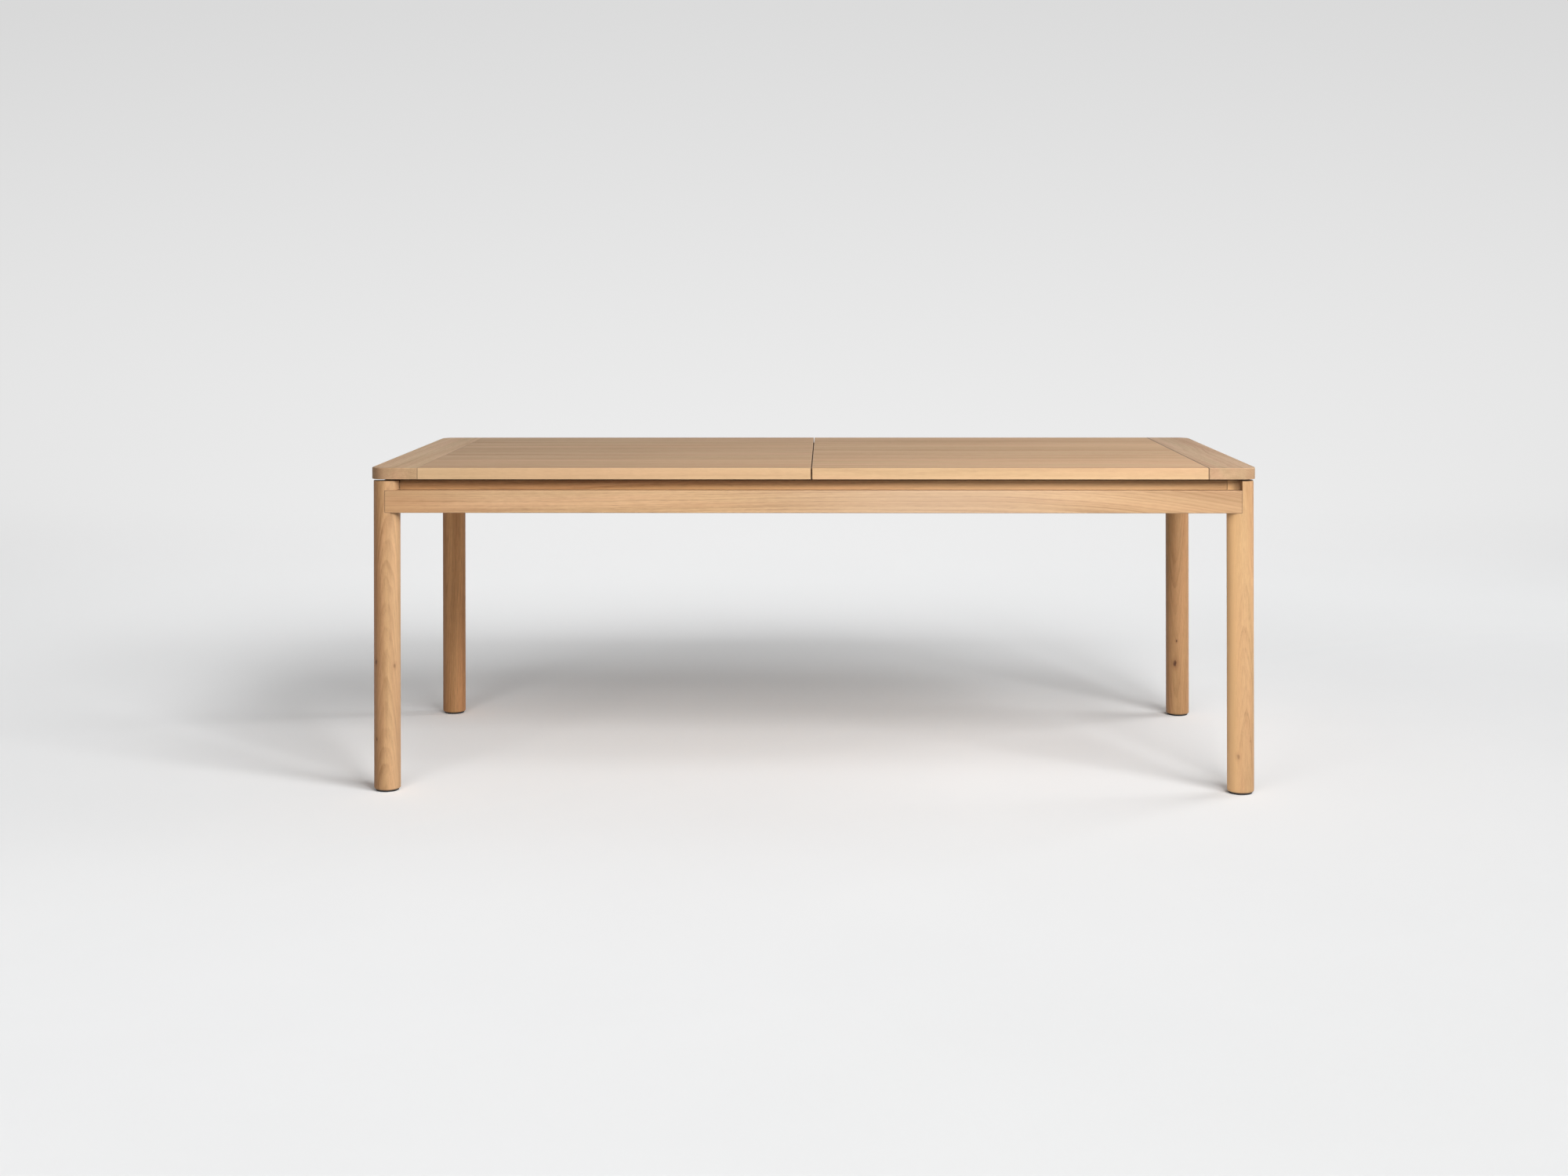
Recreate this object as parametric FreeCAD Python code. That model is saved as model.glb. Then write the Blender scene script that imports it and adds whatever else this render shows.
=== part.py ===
import FreeCAD, Part
import math
import os

# Extending dining table in oak. The top is in two halves that draw apart over a fixed frame of round
# legs and lapped rails, and a folded leaf for the opening is stored underneath.
# Millimetres. The origin is on the floor under the middle of the table, +X runs along the length,
# +Z is up and the front of the table faces -Y.
# A reach is a distance from the middle plane Y = 0. What is built at a positive reach is the rear one,
# and the front one is its mirror image.

# Top
top_length = 2000.0
top_width = 900.0
top_thickness = 26.0
table_height = 735.0
top_corner_radius = 30.0
top_upper_round = 2.0
top_lower_round = 1.0
seam_gap = 2.0
seam_chamfer = 0.6
opening_travel = 250.0

# End boards of the top
end_board_width = 108.0
end_joint_gap = 0.6
end_joint_depth = 1.5
tongue_length = 22.0
tongue_thickness = 9.0
tongue_end_cover = 30.0
tongue_clearance = 0.1
peg_radius = 4.0
peg_height = 18.0
peg_recess = 0.5
peg_edge_distance = 120.0
peg_slot_travel = 6.0

# Legs and glides
leg_diameter = 60.0
leg_end_inset = 3.0
leg_side_inset = 1.0
top_gap = 4.0
leg_foot_round = 4.0
leg_top_chamfer = 1.0
glide_radius = 26.0
glide_thickness = 4.0
glide_round = 1.0
glide_stem_radius = 4.0
glide_stem_length = 18.0

# Rails, and the inner rails that stand behind them up to the height of the legs
rail_thickness = 24.0
rail_height = 51.0
rail_ledge_drop = 21.0
rail_round = 2.0
rail_end_ease = 0.8
inner_rail_thickness = 25.0
inner_rail_leg_gap = 0.8
inner_rail_screw_depth = 8.0
inner_rail_screw_inset = 110.0
guide_screw_count = 6
end_screw_count = 3

# Corner blocks and leg bolts
corner_block_reach = 88.0
corner_block_edge = 22.0
corner_block_margin = 2.0
corner_screw_inset = 10.0
corner_screw_depth = 16.0
bolt_radius = 4.0
bolt_pitch = 24.0
bolt_start = 8.0
bolt_spare = 4.0
washer_radius = 9.0
washer_thickness = 1.6
nut_across_flats = 13.0
nut_thickness = 6.5

# Leaf stored folded between the rails
leaf_thickness = 22.0
leaf_fit = 2.0
leaf_fold_gap = 0.25
leaf_lock_gap = 1.1
leaf_edge_chamfer = 0.8
hinge_plate_thickness = 1.5
hinge_plate_depth = 28.0
hinge_length = 54.0
hinge_barrel_radius = 3.0
hinge_pin_radius = 1.5
hinge_inset = 79.0
hinge_screw_length = 12.0
hinge_screw_radius = 1.6

# Bearers that carry the leaf and tie the long rails together
bearer_width = 45.0
bearer_thickness = 17.0
bearer_housing = 8.0
bearer_inset = 69.0
pad_length = 60.0
pad_width = 30.0
pad_thickness = 1.5
pad_inset = 60.0

# Slides
groove_height = 14.0
groove_depth = 12.0
slide_clearance = 0.3
runner_thickness = 28.0
runner_lift = 7.0
runner_seam_gap = 20.0
runner_screw_inset = 40.0
runner_screw_count = 4
stop_block_gap = 3.0
stop_length = 22.0
stop_height = 36.0
stop_screw_depth = 12.0
bumper_radius = 8.0
bumper_thickness = 4.0

# Battens under the top
batten_width = 50.0
batten_thickness = 18.0
batten_leaf_gap = 56.0
batten_end_gap = 33.0
batten_rack_gap = 11.0
batten_screw_inset = 75.0

# Rack and pinion that make both halves of the top move alike
gear_module = 2.0
pinion_teeth = 18
pressure_angle = math.radians(20.0)
tooth_play = 0.6
root_clearance = 0.5
flank_steps = 5
rack_back = 11.0
rack_height = 12.0
rack_drop = 8.0
rack_gap = 2.7
rack_mount_length = 290.0
rack_end_spare = 24.0
rack_lug_length = 24.0
rack_lug_inset = 20.0
pinion_shaft_radius = 5.0
pinion_running_clearance = 0.05
post_radius = 8.0
post_flange_radius = 13.0
post_flange_thickness = 3.0
post_stud_radius = 4.0
post_stud_length = 14.0
clip_radius = 9.0
clip_thickness = 1.2
clip_groove_depth = 1.0
clip_mouth = 6.0
post_tip = 1.5

# Locks that hold the two halves together
lock_pivot_offset = 24.0
lock_keeper_offset = 16.0
lock_plate_thickness = 2.5
lock_plate_length = 40.0
lock_plate_width = 36.0
lock_plate_round = 4.0
lock_pin_radius = 3.0
lock_pin_head_radius = 4.5
lock_pin_head_thickness = 2.0
lever_thickness = 3.5
lever_width = 18.0
lever_finger = 10.0
lever_round = 4.0
lever_knob_radius = 5.0
lever_knob_height = 2.6
lever_knob_round = 1.2
lever_knob_radius_from_pivot = 22.0
lever_slot_angle = 60.0
lever_rest_angle = 90.0
lock_rack_gap = 6.0
lock_screw_length = 14.0
lock_screw_radius = 1.8
lock_screw_spread = 13.0

# Seam pins and common fasteners
seam_pin_radius = 4.0
seam_pin_embed = 20.0
seam_pin_length = 12.0
seam_pin_point = 1.5
seam_pin_edge_distance = 60.0
seam_pin_inner_reach = 130.0
seam_pin_hole_spare = 2.0
screw_length = 30.0
screw_radius = 2.0
screw_head_ratio = 2.0
screw_counterbore = 60.0
recess_depth_ratio = 0.6
recess_width_ratio = 0.5
hole_clearance = 0.05
overshoot = 1.0

# Heights worked out from the sizes above
underside = table_height - top_thickness
leg_top = underside - top_gap
rail_ledge = leg_top - rail_ledge_drop
rail_bottom = rail_ledge - rail_height
lock_plate_bottom = underside - lock_plate_thickness
lever_top = lock_plate_bottom - slide_clearance
lever_bottom = lever_top - lever_thickness
knob_bottom = lever_bottom - lever_knob_height
pin_head_top = lever_bottom - slide_clearance
pin_head_bottom = pin_head_top - lock_pin_head_thickness
upper_leaf_top = min(knob_bottom, pin_head_bottom) - leaf_lock_gap
upper_leaf_bottom = upper_leaf_top - leaf_thickness
lower_leaf_top = upper_leaf_bottom - 2.0 * hinge_plate_thickness
lower_leaf_bottom = lower_leaf_top - leaf_thickness
hinge_height = lower_leaf_top + hinge_plate_thickness
bearer_top = lower_leaf_bottom - pad_thickness
bearer_bottom = bearer_top - bearer_thickness
groove_middle = (bearer_top + leg_top) / 2.0
groove_bottom = groove_middle - groove_height / 2.0
groove_top = groove_middle + groove_height / 2.0
lower_land = (bearer_top + groove_bottom) / 2.0
upper_land = (groove_top + leg_top) / 2.0
runner_bottom = bearer_top + runner_lift
batten_bottom = underside - batten_thickness
rack_top = underside - rack_drop
rack_bottom = rack_top - rack_height
tongue_bottom = table_height - (top_thickness + tongue_thickness) / 2.0
pin_height = table_height - top_thickness / 2.0
block_top = leg_top - corner_block_margin
block_middle = (bearer_top + block_top) / 2.0
clip_bottom = rack_top + slide_clearance
post_shoulder = rack_bottom - slide_clearance

# Places along the length
half_length = top_length / 2.0
seam_x = seam_gap / 2.0
end_joint_x = half_length - end_board_width
leg_radius = leg_diameter / 2.0
leg_x = half_length - leg_end_inset - leg_radius
end_rail_inner = leg_x + leg_radius - rail_thickness
end_inner_face = end_rail_inner - inner_rail_thickness
guide_end = leg_x - leg_radius - inner_rail_leg_gap
stop_outer = leg_x - corner_block_reach - stop_block_gap
stop_inner = stop_outer - stop_length
runner_end = stop_inner - bumper_thickness - slide_clearance - opening_travel
leaf_length = 2.0 * opening_travel - leaf_fit
leaf_half_length = leaf_length / 2.0
bearer_x = leaf_half_length - bearer_inset
hinge_spread = leaf_half_length - hinge_inset
batten_inner_x = leaf_half_length + batten_leaf_gap + batten_width / 2.0
batten_outer_x = end_inner_face - opening_travel - batten_end_gap - batten_width / 2.0

# Reaches from the middle plane
half_width = top_width / 2.0
leg_y = half_width - leg_side_inset - leg_radius
rail_inner = leg_y + leg_radius - rail_thickness
guide_inner = rail_inner - inner_rail_thickness
end_inner_reach = leg_y - leg_radius - inner_rail_leg_gap
runner_outer = guide_inner - slide_clearance
runner_inner = runner_outer - runner_thickness
runner_middle = (runner_outer + runner_inner) / 2.0
pitch_radius = gear_module * pinion_teeth / 2.0
tooth_pitch = math.pi * gear_module
tooth_depth = gear_module + root_clearance
outer_rack_back = runner_inner - rack_gap
outer_pitch_line = outer_rack_back - rack_back - tooth_depth
pinion_reach = outer_pitch_line - pitch_radius
inner_pitch_line = pinion_reach - pitch_radius
inner_rack_back = inner_pitch_line - tooth_depth - rack_back
hook_radius = lock_pivot_offset + lock_keeper_offset
lever_reach = hook_radius + lever_finger
lock_reach = inner_rack_back - lock_rack_gap - lever_reach
batten_reach = inner_rack_back - batten_rack_gap
leaf_depth = half_width - leaf_fold_gap
leaf_half_depth = leaf_depth / 2.0
peg_spread = half_width - peg_edge_distance
seam_pin_outer_reach = half_width - seam_pin_edge_distance
batten_screw_spread = batten_reach - batten_screw_inset

# Faces behind a leg that stands at the origin, the same on both of its rails
rail_back = rail_thickness - leg_radius
block_face = rail_back + inner_rail_thickness

x_axis = FreeCAD.Vector(1, 0, 0)
y_axis = FreeCAD.Vector(0, 1, 0)
z_axis = FreeCAD.Vector(0, 0, 1)
middle = FreeCAD.Vector(0, 0, 0)


# Basic shapes
def point(x, y, z):
    return FreeCAD.Vector(x, y, z)


def box(x0, x1, y0, y1, z0, z1):
    return Part.makeBox(x1 - x0, y1 - y0, z1 - z0, point(x0, y0, z0))


def upright(radius, x, y, z0, z1):
    return Part.makeCylinder(radius, z1 - z0, point(x, y, z0), z_axis)


def rod(radius, start, length, direction):
    return Part.makeCylinder(radius, length, start, direction)


def prism(corners, z0, z1):
    """A polygon in plan, raised from z0 to z1."""
    outline = [point(x, y, z0) for x, y in corners]
    face = Part.Face(Part.makePolygon(outline + outline[:1]))
    return face.extrude(point(0, 0, z1 - z0))


def turned_solid(profile):
    """A (radius, height) outline turned about Z."""
    outline = [point(radius, 0, height) for radius, height in profile]
    face = Part.Face(Part.makePolygon(outline + outline[:1]))
    return face.revolve(middle, z_axis, 360)


def mirror_front(shape):
    return shape.mirror(middle, y_axis)


def mirror_right(shape):
    return shape.mirror(middle, x_axis)


def as_built(shape):
    return shape


def turned(shape, degrees, x=0.0, y=0.0):
    copy = shape.copy()
    copy.rotate(point(x, y, 0), z_axis, degrees)
    return copy


def moved(shape, x, y, z=0.0):
    copy = shape.copy()
    copy.translate(point(x, y, z))
    return copy


def aimed(shape, place, direction):
    """A copy of a shape made along +Z, set at a place and pointing in a direction."""
    copy = shape.copy()
    copy.Placement = FreeCAD.Placement(place, FreeCAD.Rotation(z_axis, direction))
    return copy


def group(shapes):
    return Part.makeCompound(shapes)


def front_and_rear(rear_shapes):
    return rear_shapes + [mirror_front(shape) for shape in rear_shapes]


def spaced(first, last, count):
    return [first + (last - first) * index / (count - 1) for index in range(count)]


def round_edges(shape, radius, chosen):
    edges = [edge for edge in shape.Edges if chosen(edge.BoundBox)]
    return shape.makeFillet(radius, edges)


# Fasteners
def wood_screw(length, radius):
    """A countersunk screw with its head face at the origin and its point along +Z."""
    head = radius * screw_head_ratio
    head_depth = head - radius
    point_length = 2.0 * radius
    shank_end = length - point_length
    body = turned_solid([(0, 0), (head, 0), (radius, head_depth), (radius, shank_end), (0, length)])
    arm = head * recess_depth_ratio
    half = radius * recess_width_ratio / 2.0
    depth = radius * recess_depth_ratio
    cross = box(-arm, arm, -half, half, -overshoot, depth)
    cross = cross.fuse(box(-half, half, -arm, arm, -overshoot, depth))
    return body.cut(cross)


def screw_hole(length, radius, counterbore=0.0):
    """The hole that such a screw sits in, with a counterbore behind the head where it is sunk."""
    core = radius + hole_clearance
    head = radius * screw_head_ratio + hole_clearance
    back = -max(counterbore, hole_clearance)
    neck = head - core
    return turned_solid([(0, back), (head, back), (head, 0), (core, neck), (core, length), (0, length)])


common_screw = wood_screw(screw_length, screw_radius)
sunk_hole = screw_hole(screw_length, screw_radius, screw_counterbore)


def screws_at(places, direction):
    return [aimed(common_screw, place, direction) for place in places]


def holes_at(places, direction):
    return [aimed(sunk_hole, place, direction) for place in places]


# Frame: legs, glides, rails and corner blocks
def bolt_heights():
    return [block_middle - bolt_pitch / 2.0, block_middle + bolt_pitch / 2.0]


def leg_blank():
    """One leg at the origin: its first rail leaves along +X and its second along +Y.

    The notch for the first rail stops at the rail's top, and the other one runs out at the top of the leg.
    """
    leg = upright(leg_radius, 0, 0, glide_thickness, leg_top)
    leg = round_edges(leg, leg_foot_round, lambda b: b.ZMax < glide_thickness + overshoot)
    rim = [edge for edge in leg.Edges if edge.BoundBox.ZMin > leg_top - overshoot]
    leg = leg.makeChamfer(leg_top_chamfer, rim)
    outside = leg_radius + overshoot
    first = box(0, outside, -outside, rail_back, rail_bottom, rail_ledge)
    second = box(-outside, rail_back, 0, outside, rail_bottom, leg_top + overshoot)
    stem = upright(glide_stem_radius + hole_clearance, 0, 0, 0, glide_thickness + glide_stem_length)
    inward = point(1, 1, 0)
    bores = [rod(bolt_radius + hole_clearance, bolt_point(bolt_start, z), leg_diameter, inward)
             for z in bolt_heights()]
    return leg.cut([first, second, stem] + bores)


def bolt_point(distance, z):
    """A point on a leg bolt's line, at a distance from the leg's axis."""
    side = distance / math.sqrt(2.0)
    return point(side, side, z)


def glide():
    pad = upright(glide_radius, 0, 0, 0, glide_thickness)
    pad = round_edges(pad, glide_round, lambda b: b.ZMax < glide_thickness / 2.0)
    return pad.fuse(upright(glide_stem_radius, 0, 0, 0, glide_thickness + glide_stem_length))


def rail(span):
    """A rail along +X from one leg's axis to the next, with its show face towards -Y."""
    board = box(0, span, -leg_radius, rail_back, rail_bottom, rail_ledge)
    board = round_edges(board, rail_round,
                        lambda b: b.XLength > span - overshoot and b.YMax < overshoot - leg_radius)
    return board.cut([rail_end_cut(0, 1), rail_end_cut(span, -1)])


def rail_end_cut(end, way):
    """What eases a rail's upright front edge at one end, so that the joint with the leg shows as a line."""
    front = -leg_radius - overshoot
    outside = end - way * overshoot
    slope = rail_end_ease + 2.0 * overshoot
    return prism([(outside, front), (outside + way * slope, front), (outside, front + slope)],
                 rail_bottom - overshoot, rail_ledge + overshoot)


def block_face_distance():
    return (corner_block_reach + block_face + corner_block_edge) / math.sqrt(2.0)


def corner_block():
    """The block behind a leg at the origin, between its two inner rails."""
    edge = block_face + corner_block_edge
    outline = [(block_face, block_face), (corner_block_reach, block_face), (corner_block_reach, edge),
               (edge, corner_block_reach), (block_face, corner_block_reach)]
    block = prism(outline, bearer_top, block_top)
    seat = upright(leg_radius + slide_clearance, 0, 0, bearer_top - overshoot, block_top + overshoot)
    bores = [rod(bolt_radius + slide_clearance, bolt_point(0, z), 2.0 * corner_block_reach, point(1, 1, 0))
             for z in bolt_heights()]
    return block.cut([seat] + bores)


def corner_screw_places():
    """Screw places of one corner block, each with its direction."""
    along = corner_block_reach - corner_screw_inset
    head = block_face + corner_screw_depth
    heights = [lower_land, upper_land]
    first = [(point(along, head, z), y_axis * -1) for z in heights]
    second = [(point(head, along, z), x_axis * -1) for z in heights]
    return first + second


def leg_bolt_set():
    """The hanger bolts, washers and nuts of one leg at the origin."""
    inward = point(1, 1, 0)
    face = block_face_distance()
    washer_end = face + washer_thickness
    nut_end = washer_end + nut_thickness
    bolts, washers, nuts = [], [], []
    hexagon = [(nut_across_flats / math.sqrt(3.0) * math.cos(math.radians(60 * k)),
                nut_across_flats / math.sqrt(3.0) * math.sin(math.radians(60 * k))) for k in range(6)]
    nut_bore = upright(bolt_radius + hole_clearance, 0, 0, -overshoot, nut_thickness + overshoot)
    nut_blank = prism(hexagon, 0, nut_thickness).cut(nut_bore)
    for z in bolt_heights():
        bolts.append(rod(bolt_radius, bolt_point(bolt_start, z), nut_end + bolt_spare - bolt_start, inward))
        ring = rod(washer_radius, bolt_point(face, z), washer_thickness, inward)
        washers.append(ring.cut(rod(bolt_radius + slide_clearance, bolt_point(0, z), nut_end, inward)))
        nuts.append(aimed(nut_blank, bolt_point(washer_end, z), inward))
    return bolts, washers, nuts


# Slides: fixed guides, runners, stops
def guide():
    """The rear guide: the inner rail behind the rear rail, with a groove for the runners."""
    bar = box(-guide_end, guide_end, guide_inner, rail_inner, bearer_top, leg_top)
    groove = box(-guide_end - overshoot, guide_end + overshoot, guide_inner - overshoot,
                 guide_inner + groove_depth, groove_bottom, groove_top)
    return bar.cut(groove)


def guide_screw_places():
    last = guide_end - inner_rail_screw_inset
    head = guide_inner + inner_rail_screw_depth
    return [point(x, head, lower_land) for x in spaced(-last, last, guide_screw_count)]


def inner_end_rail():
    """The inner rail behind the left rail."""
    return box(-end_rail_inner, -end_inner_face, -end_inner_reach, end_inner_reach, bearer_top, leg_top)


def end_screw_places():
    last = end_inner_reach - inner_rail_screw_inset
    head = -end_inner_face - inner_rail_screw_depth
    return [point(head, y, lower_land) for y in spaced(-last, last, end_screw_count)]


def runner():
    """The rear runner of the left half, with a tongue in the guide's groove."""
    bar = box(-runner_end, -runner_seam_gap, runner_inner, runner_outer, runner_bottom, underside)
    tongue = box(-runner_end, -runner_seam_gap, runner_outer, guide_inner + groove_depth - slide_clearance,
                 groove_bottom + slide_clearance, groove_top - slide_clearance)
    return bar.fuse(tongue).removeSplitter()


def runner_screw_places():
    xs = spaced(-runner_end + runner_screw_inset, -runner_seam_gap - runner_screw_inset, runner_screw_count)
    return [point(x, runner_middle, batten_bottom) for x in xs]


def stop_block():
    """The stop near the left end of the rear guide."""
    return box(-stop_outer, -stop_inner, runner_inner, guide_inner, groove_middle - stop_height / 2.0,
               groove_middle + stop_height / 2.0)


def stop_screw_place():
    height = (groove_middle - stop_height / 2.0 + groove_bottom) / 2.0
    return point(-(stop_outer + stop_inner) / 2.0, runner_inner + stop_screw_depth, height)


def bumper():
    return rod(bumper_radius, point(-stop_inner, runner_middle, groove_middle), bumper_thickness, x_axis)


# Bearers and the stored leaf
def bearer(x):
    half = bearer_width / 2.0
    reach = rail_inner + bearer_housing
    return box(x - half, x + half, -reach, reach, bearer_bottom, bearer_top)


def bearer_pad(x):
    """The rear pad of a bearer, under the leaf."""
    half = pad_width / 2.0
    outer = leaf_half_depth - pad_inset
    return box(x - half, x + half, outer - pad_length, outer, bearer_top, lower_leaf_bottom)


def leaf_pin_places():
    """How far the leaf's seam pins lie from its fold, turned into Y at rest."""
    return [leaf_half_depth - seam_pin_inner_reach, leaf_half_depth - seam_pin_outer_reach]


def leaf_panel(z0, z1):
    panel = box(-leaf_half_length, leaf_half_length, -leaf_half_depth, leaf_half_depth, z0, z1)
    panel = panel.makeChamfer(leaf_edge_chamfer, panel.Edges)
    height = (z0 + z1) / 2.0
    holes = []
    for y in leaf_pin_places():
        holes.append(rod(seam_pin_radius + slide_clearance, point(leaf_half_length + overshoot, y, height),
                         seam_pin_length + seam_pin_hole_spare + overshoot, x_axis * -1))
        holes.append(rod(seam_pin_radius + hole_clearance, point(-leaf_half_length - overshoot, y, height),
                         seam_pin_embed + overshoot, x_axis))
    return panel.cut(holes)


def seam_pin():
    """A pin along +Z with a tapered point. The origin is where it leaves its panel."""
    tip = seam_pin_radius - seam_pin_point
    return turned_solid([(0, -seam_pin_embed), (seam_pin_radius, -seam_pin_embed),
                         (seam_pin_radius, seam_pin_length - seam_pin_point), (tip, seam_pin_length),
                         (0, seam_pin_length)])


def leaf_pins():
    heights = [(lower_leaf_bottom + lower_leaf_top) / 2.0, (upper_leaf_bottom + upper_leaf_top) / 2.0]
    return [aimed(seam_pin(), point(-leaf_half_length, y, z), x_axis * -1)
            for y in leaf_pin_places() for z in heights]


def hinge_axis_y():
    return leaf_half_depth + hinge_barrel_radius + slide_clearance


def hinge_leaf(x, z0, z1, knuckles):
    """One plate of a leaf hinge with the barrel pieces that it carries."""
    half = hinge_length / 2.0
    plate = box(x - half, x + half, leaf_half_depth - hinge_plate_depth, leaf_half_depth, z0, z1)
    bores = []
    for x0, x1 in knuckles:
        start = point(x0, hinge_axis_y(), hinge_height)
        plate = plate.fuse(box(x0, x1, leaf_half_depth, hinge_axis_y(), z0, z1))
        plate = plate.fuse(rod(hinge_barrel_radius, start, x1 - x0, x_axis))
        bores.append(rod(hinge_pin_radius + hole_clearance, start, x1 - x0, x_axis))
    return plate.cut(bores)


def hinge_knuckles(x):
    """The barrel pieces of a hinge: two outer ones for the lower plate and one between for the upper."""
    half = hinge_length / 2.0
    third = hinge_length / 3.0
    play = slide_clearance / 2.0
    outer = [(x - half, x - half + third - play), (x + half - third + play, x + half)]
    inner = [(x - half + third + play, x + half - third - play)]
    return outer, inner


def hinge_screw_places(x):
    """Heads of a hinge's screws: the lower plate's pair and, nearer the middle, the upper plate's pair."""
    y = leaf_half_depth - hinge_plate_depth / 2.0
    wide = hinge_length / 3.0
    narrow = hinge_length / 6.0
    lower = [point(x - wide, y, hinge_height), point(x + wide, y, hinge_height)]
    upper = [point(x - narrow, y, hinge_height), point(x + narrow, y, hinge_height)]
    return lower, upper


# Top halves
def left_slab():
    """The left half of the top in one piece, with its rounded edges and the line of the end joint."""
    slab = box(-half_length, -seam_x, -half_width, half_width, underside, table_height)
    slab = round_edges(slab, top_corner_radius,
                       lambda b: b.ZLength > top_thickness / 2.0 and b.XMax < overshoot - half_length)
    slab = round_edges(slab, top_upper_round,
                       lambda b: b.ZMin > table_height - overshoot and b.XMin < -seam_x - overshoot)
    slab = round_edges(slab, top_lower_round,
                       lambda b: b.ZMax < underside + overshoot and b.XMin < -seam_x - overshoot)
    return slab.cut([joint_line(), seam_bevel()])


def joint_line():
    """The fine open line all round the joint between the left panel and its end board."""
    x0 = -end_joint_x - end_joint_gap / 2.0
    x1 = x0 + end_joint_gap
    outer = half_width + overshoot
    inner = half_width - end_joint_depth
    ring = box(x0, x1, -outer, outer, underside - overshoot, table_height + overshoot)
    core = box(x0 - overshoot, x1 + overshoot, -inner, inner, underside + end_joint_depth,
               table_height - end_joint_depth)
    return ring.cut(core)


def seam_bevel():
    """The small chamfer along the seam, an (x, z) outline that runs across the whole width of the top."""
    x = -seam_x
    corners = [(x - seam_chamfer, table_height), (x, table_height - seam_chamfer), (x, table_height)]
    outline = [point(x, -half_width - overshoot, z) for x, z in corners]
    face = Part.Face(Part.makePolygon(outline + outline[:1]))
    return face.extrude(point(0, top_width + 2.0 * overshoot, 0))


def tongue(spare=0.0):
    """The tongue of the left panel, or with some spare the groove that it fits."""
    reach = half_width - tongue_end_cover + spare
    return box(-end_joint_x - tongue_length - spare, -end_joint_x, -reach, reach, tongue_bottom - spare,
               tongue_bottom + tongue_thickness + spare)


def peg_places():
    x = -end_joint_x - tongue_length / 2.0
    return [(x, -peg_spread), (x, 0.0), (x, peg_spread)]


def peg_base():
    return underside + peg_recess


def peg(place):
    x, y = place
    return upright(peg_radius, x, y, peg_base(), peg_base() + peg_height)


def peg_hole(place):
    x, y = place
    return upright(peg_radius + hole_clearance, x, y, underside - overshoot, peg_base() + peg_height)


def peg_slot(place):
    """The hole through the tongue: long at the outer pegs, so that the panel can swell and shrink."""
    x, y = place
    travel = peg_slot_travel if y else 0.0
    radius = peg_radius + hole_clearance
    z0 = tongue_bottom - overshoot
    z1 = tongue_bottom + tongue_thickness + overshoot
    if not travel:
        return upright(radius, x, y, z0, z1)
    ends = [upright(radius, x, y + shift, z0, z1) for shift in (-travel, travel)]
    return ends[0].fuse([ends[1], box(x - radius, x + radius, y - travel, y + travel, z0, z1)])


def batten(x):
    half = batten_width / 2.0
    bar = box(x - half, x + half, -batten_reach, batten_reach, batten_bottom, underside)
    return round_edges(bar, top_lower_round,
                       lambda b: b.ZMax < batten_bottom + overshoot and b.YLength > batten_reach)


def batten_screw_places(x):
    return [point(x, y, batten_bottom) for y in (-batten_screw_spread, 0, batten_screw_spread)]


# Rack and pinion
def pinion_outline():
    """Involute teeth, thinned by the play, with one tooth pointing along +Y."""
    base = pitch_radius * math.cos(pressure_angle)
    tip = pitch_radius + gear_module
    root = pitch_radius - tooth_depth
    half_at_pitch = math.pi / (2.0 * pinion_teeth) - tooth_play / (2.0 * pitch_radius)
    rolled = math.tan(pressure_angle) - pressure_angle
    flank = []
    for radius in spaced(max(base, root), tip, flank_steps):
        angle = math.acos(base / radius)
        flank.append((radius, half_at_pitch + rolled - (math.tan(angle) - angle)))
    flank.insert(0, (root, flank[0][1]))
    outline = []
    for tooth in range(pinion_teeth):
        centre = math.pi / 2.0 - 2.0 * math.pi * tooth / pinion_teeth
        rising = [(radius, centre + half) for radius, half in flank]
        falling = [(radius, centre - half) for radius, half in reversed(flank)]
        outline += [(radius * math.cos(a), radius * math.sin(a)) for radius, a in rising + falling]
    return outline


def pinion():
    """The rear pinion."""
    wheel = prism(pinion_outline(), rack_bottom, rack_top)
    bore_radius = pinion_shaft_radius + pinion_running_clearance
    bore = upright(bore_radius, 0, 0, rack_bottom - overshoot, rack_top + overshoot)
    return moved(wheel.cut(bore), 0, pinion_reach)


def rack():
    """The rear rack of the left half, on the inner side of the pinion.

    It is screwed under the left half and runs on past the seam, so that it still meets the pinion when
    the top is fully open.
    """
    slope = math.tan(pressure_angle)
    half_tip = tooth_pitch / 4.0 - gear_module * slope
    half_root = tooth_pitch / 4.0 + tooth_depth * slope
    before = math.ceil(rack_end_spare / tooth_pitch)
    after = math.ceil((opening_travel + rack_end_spare) / tooth_pitch)
    free_end = (after + 1) * tooth_pitch
    root = -tooth_depth
    outline = [(-rack_mount_length, root - rack_back), (free_end, root - rack_back), (free_end, root)]
    for index in range(after, -before, -1):
        x = (index - 0.5) * tooth_pitch
        outline += [(x + half_root, root), (x + half_tip, gear_module)]
        outline += [(x - half_tip, gear_module), (x - half_root, root)]
    outline.append((-rack_mount_length, root))
    bar = moved(prism(outline, rack_bottom, rack_top), 0, inner_pitch_line)
    half = rack_lug_length / 2.0
    lug_front = inner_rack_back + rack_back
    for place in rack_screw_places():
        lug = box(place.x - half, place.x + half, inner_rack_back, lug_front, rack_top, underside)
        bar = bar.fuse(lug)
    return bar.removeSplitter()


def rack_screw_places():
    half = rack_lug_length / 2.0
    xs = [half - rack_mount_length, -rack_lug_inset - half]
    return [point(x, inner_rack_back + rack_back / 2.0, batten_bottom) for x in xs]


def outer_side(shape):
    """The same piece on the outer side of the rear pinion, for the right half."""
    return turned(shape, 180, 0, pinion_reach)


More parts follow.
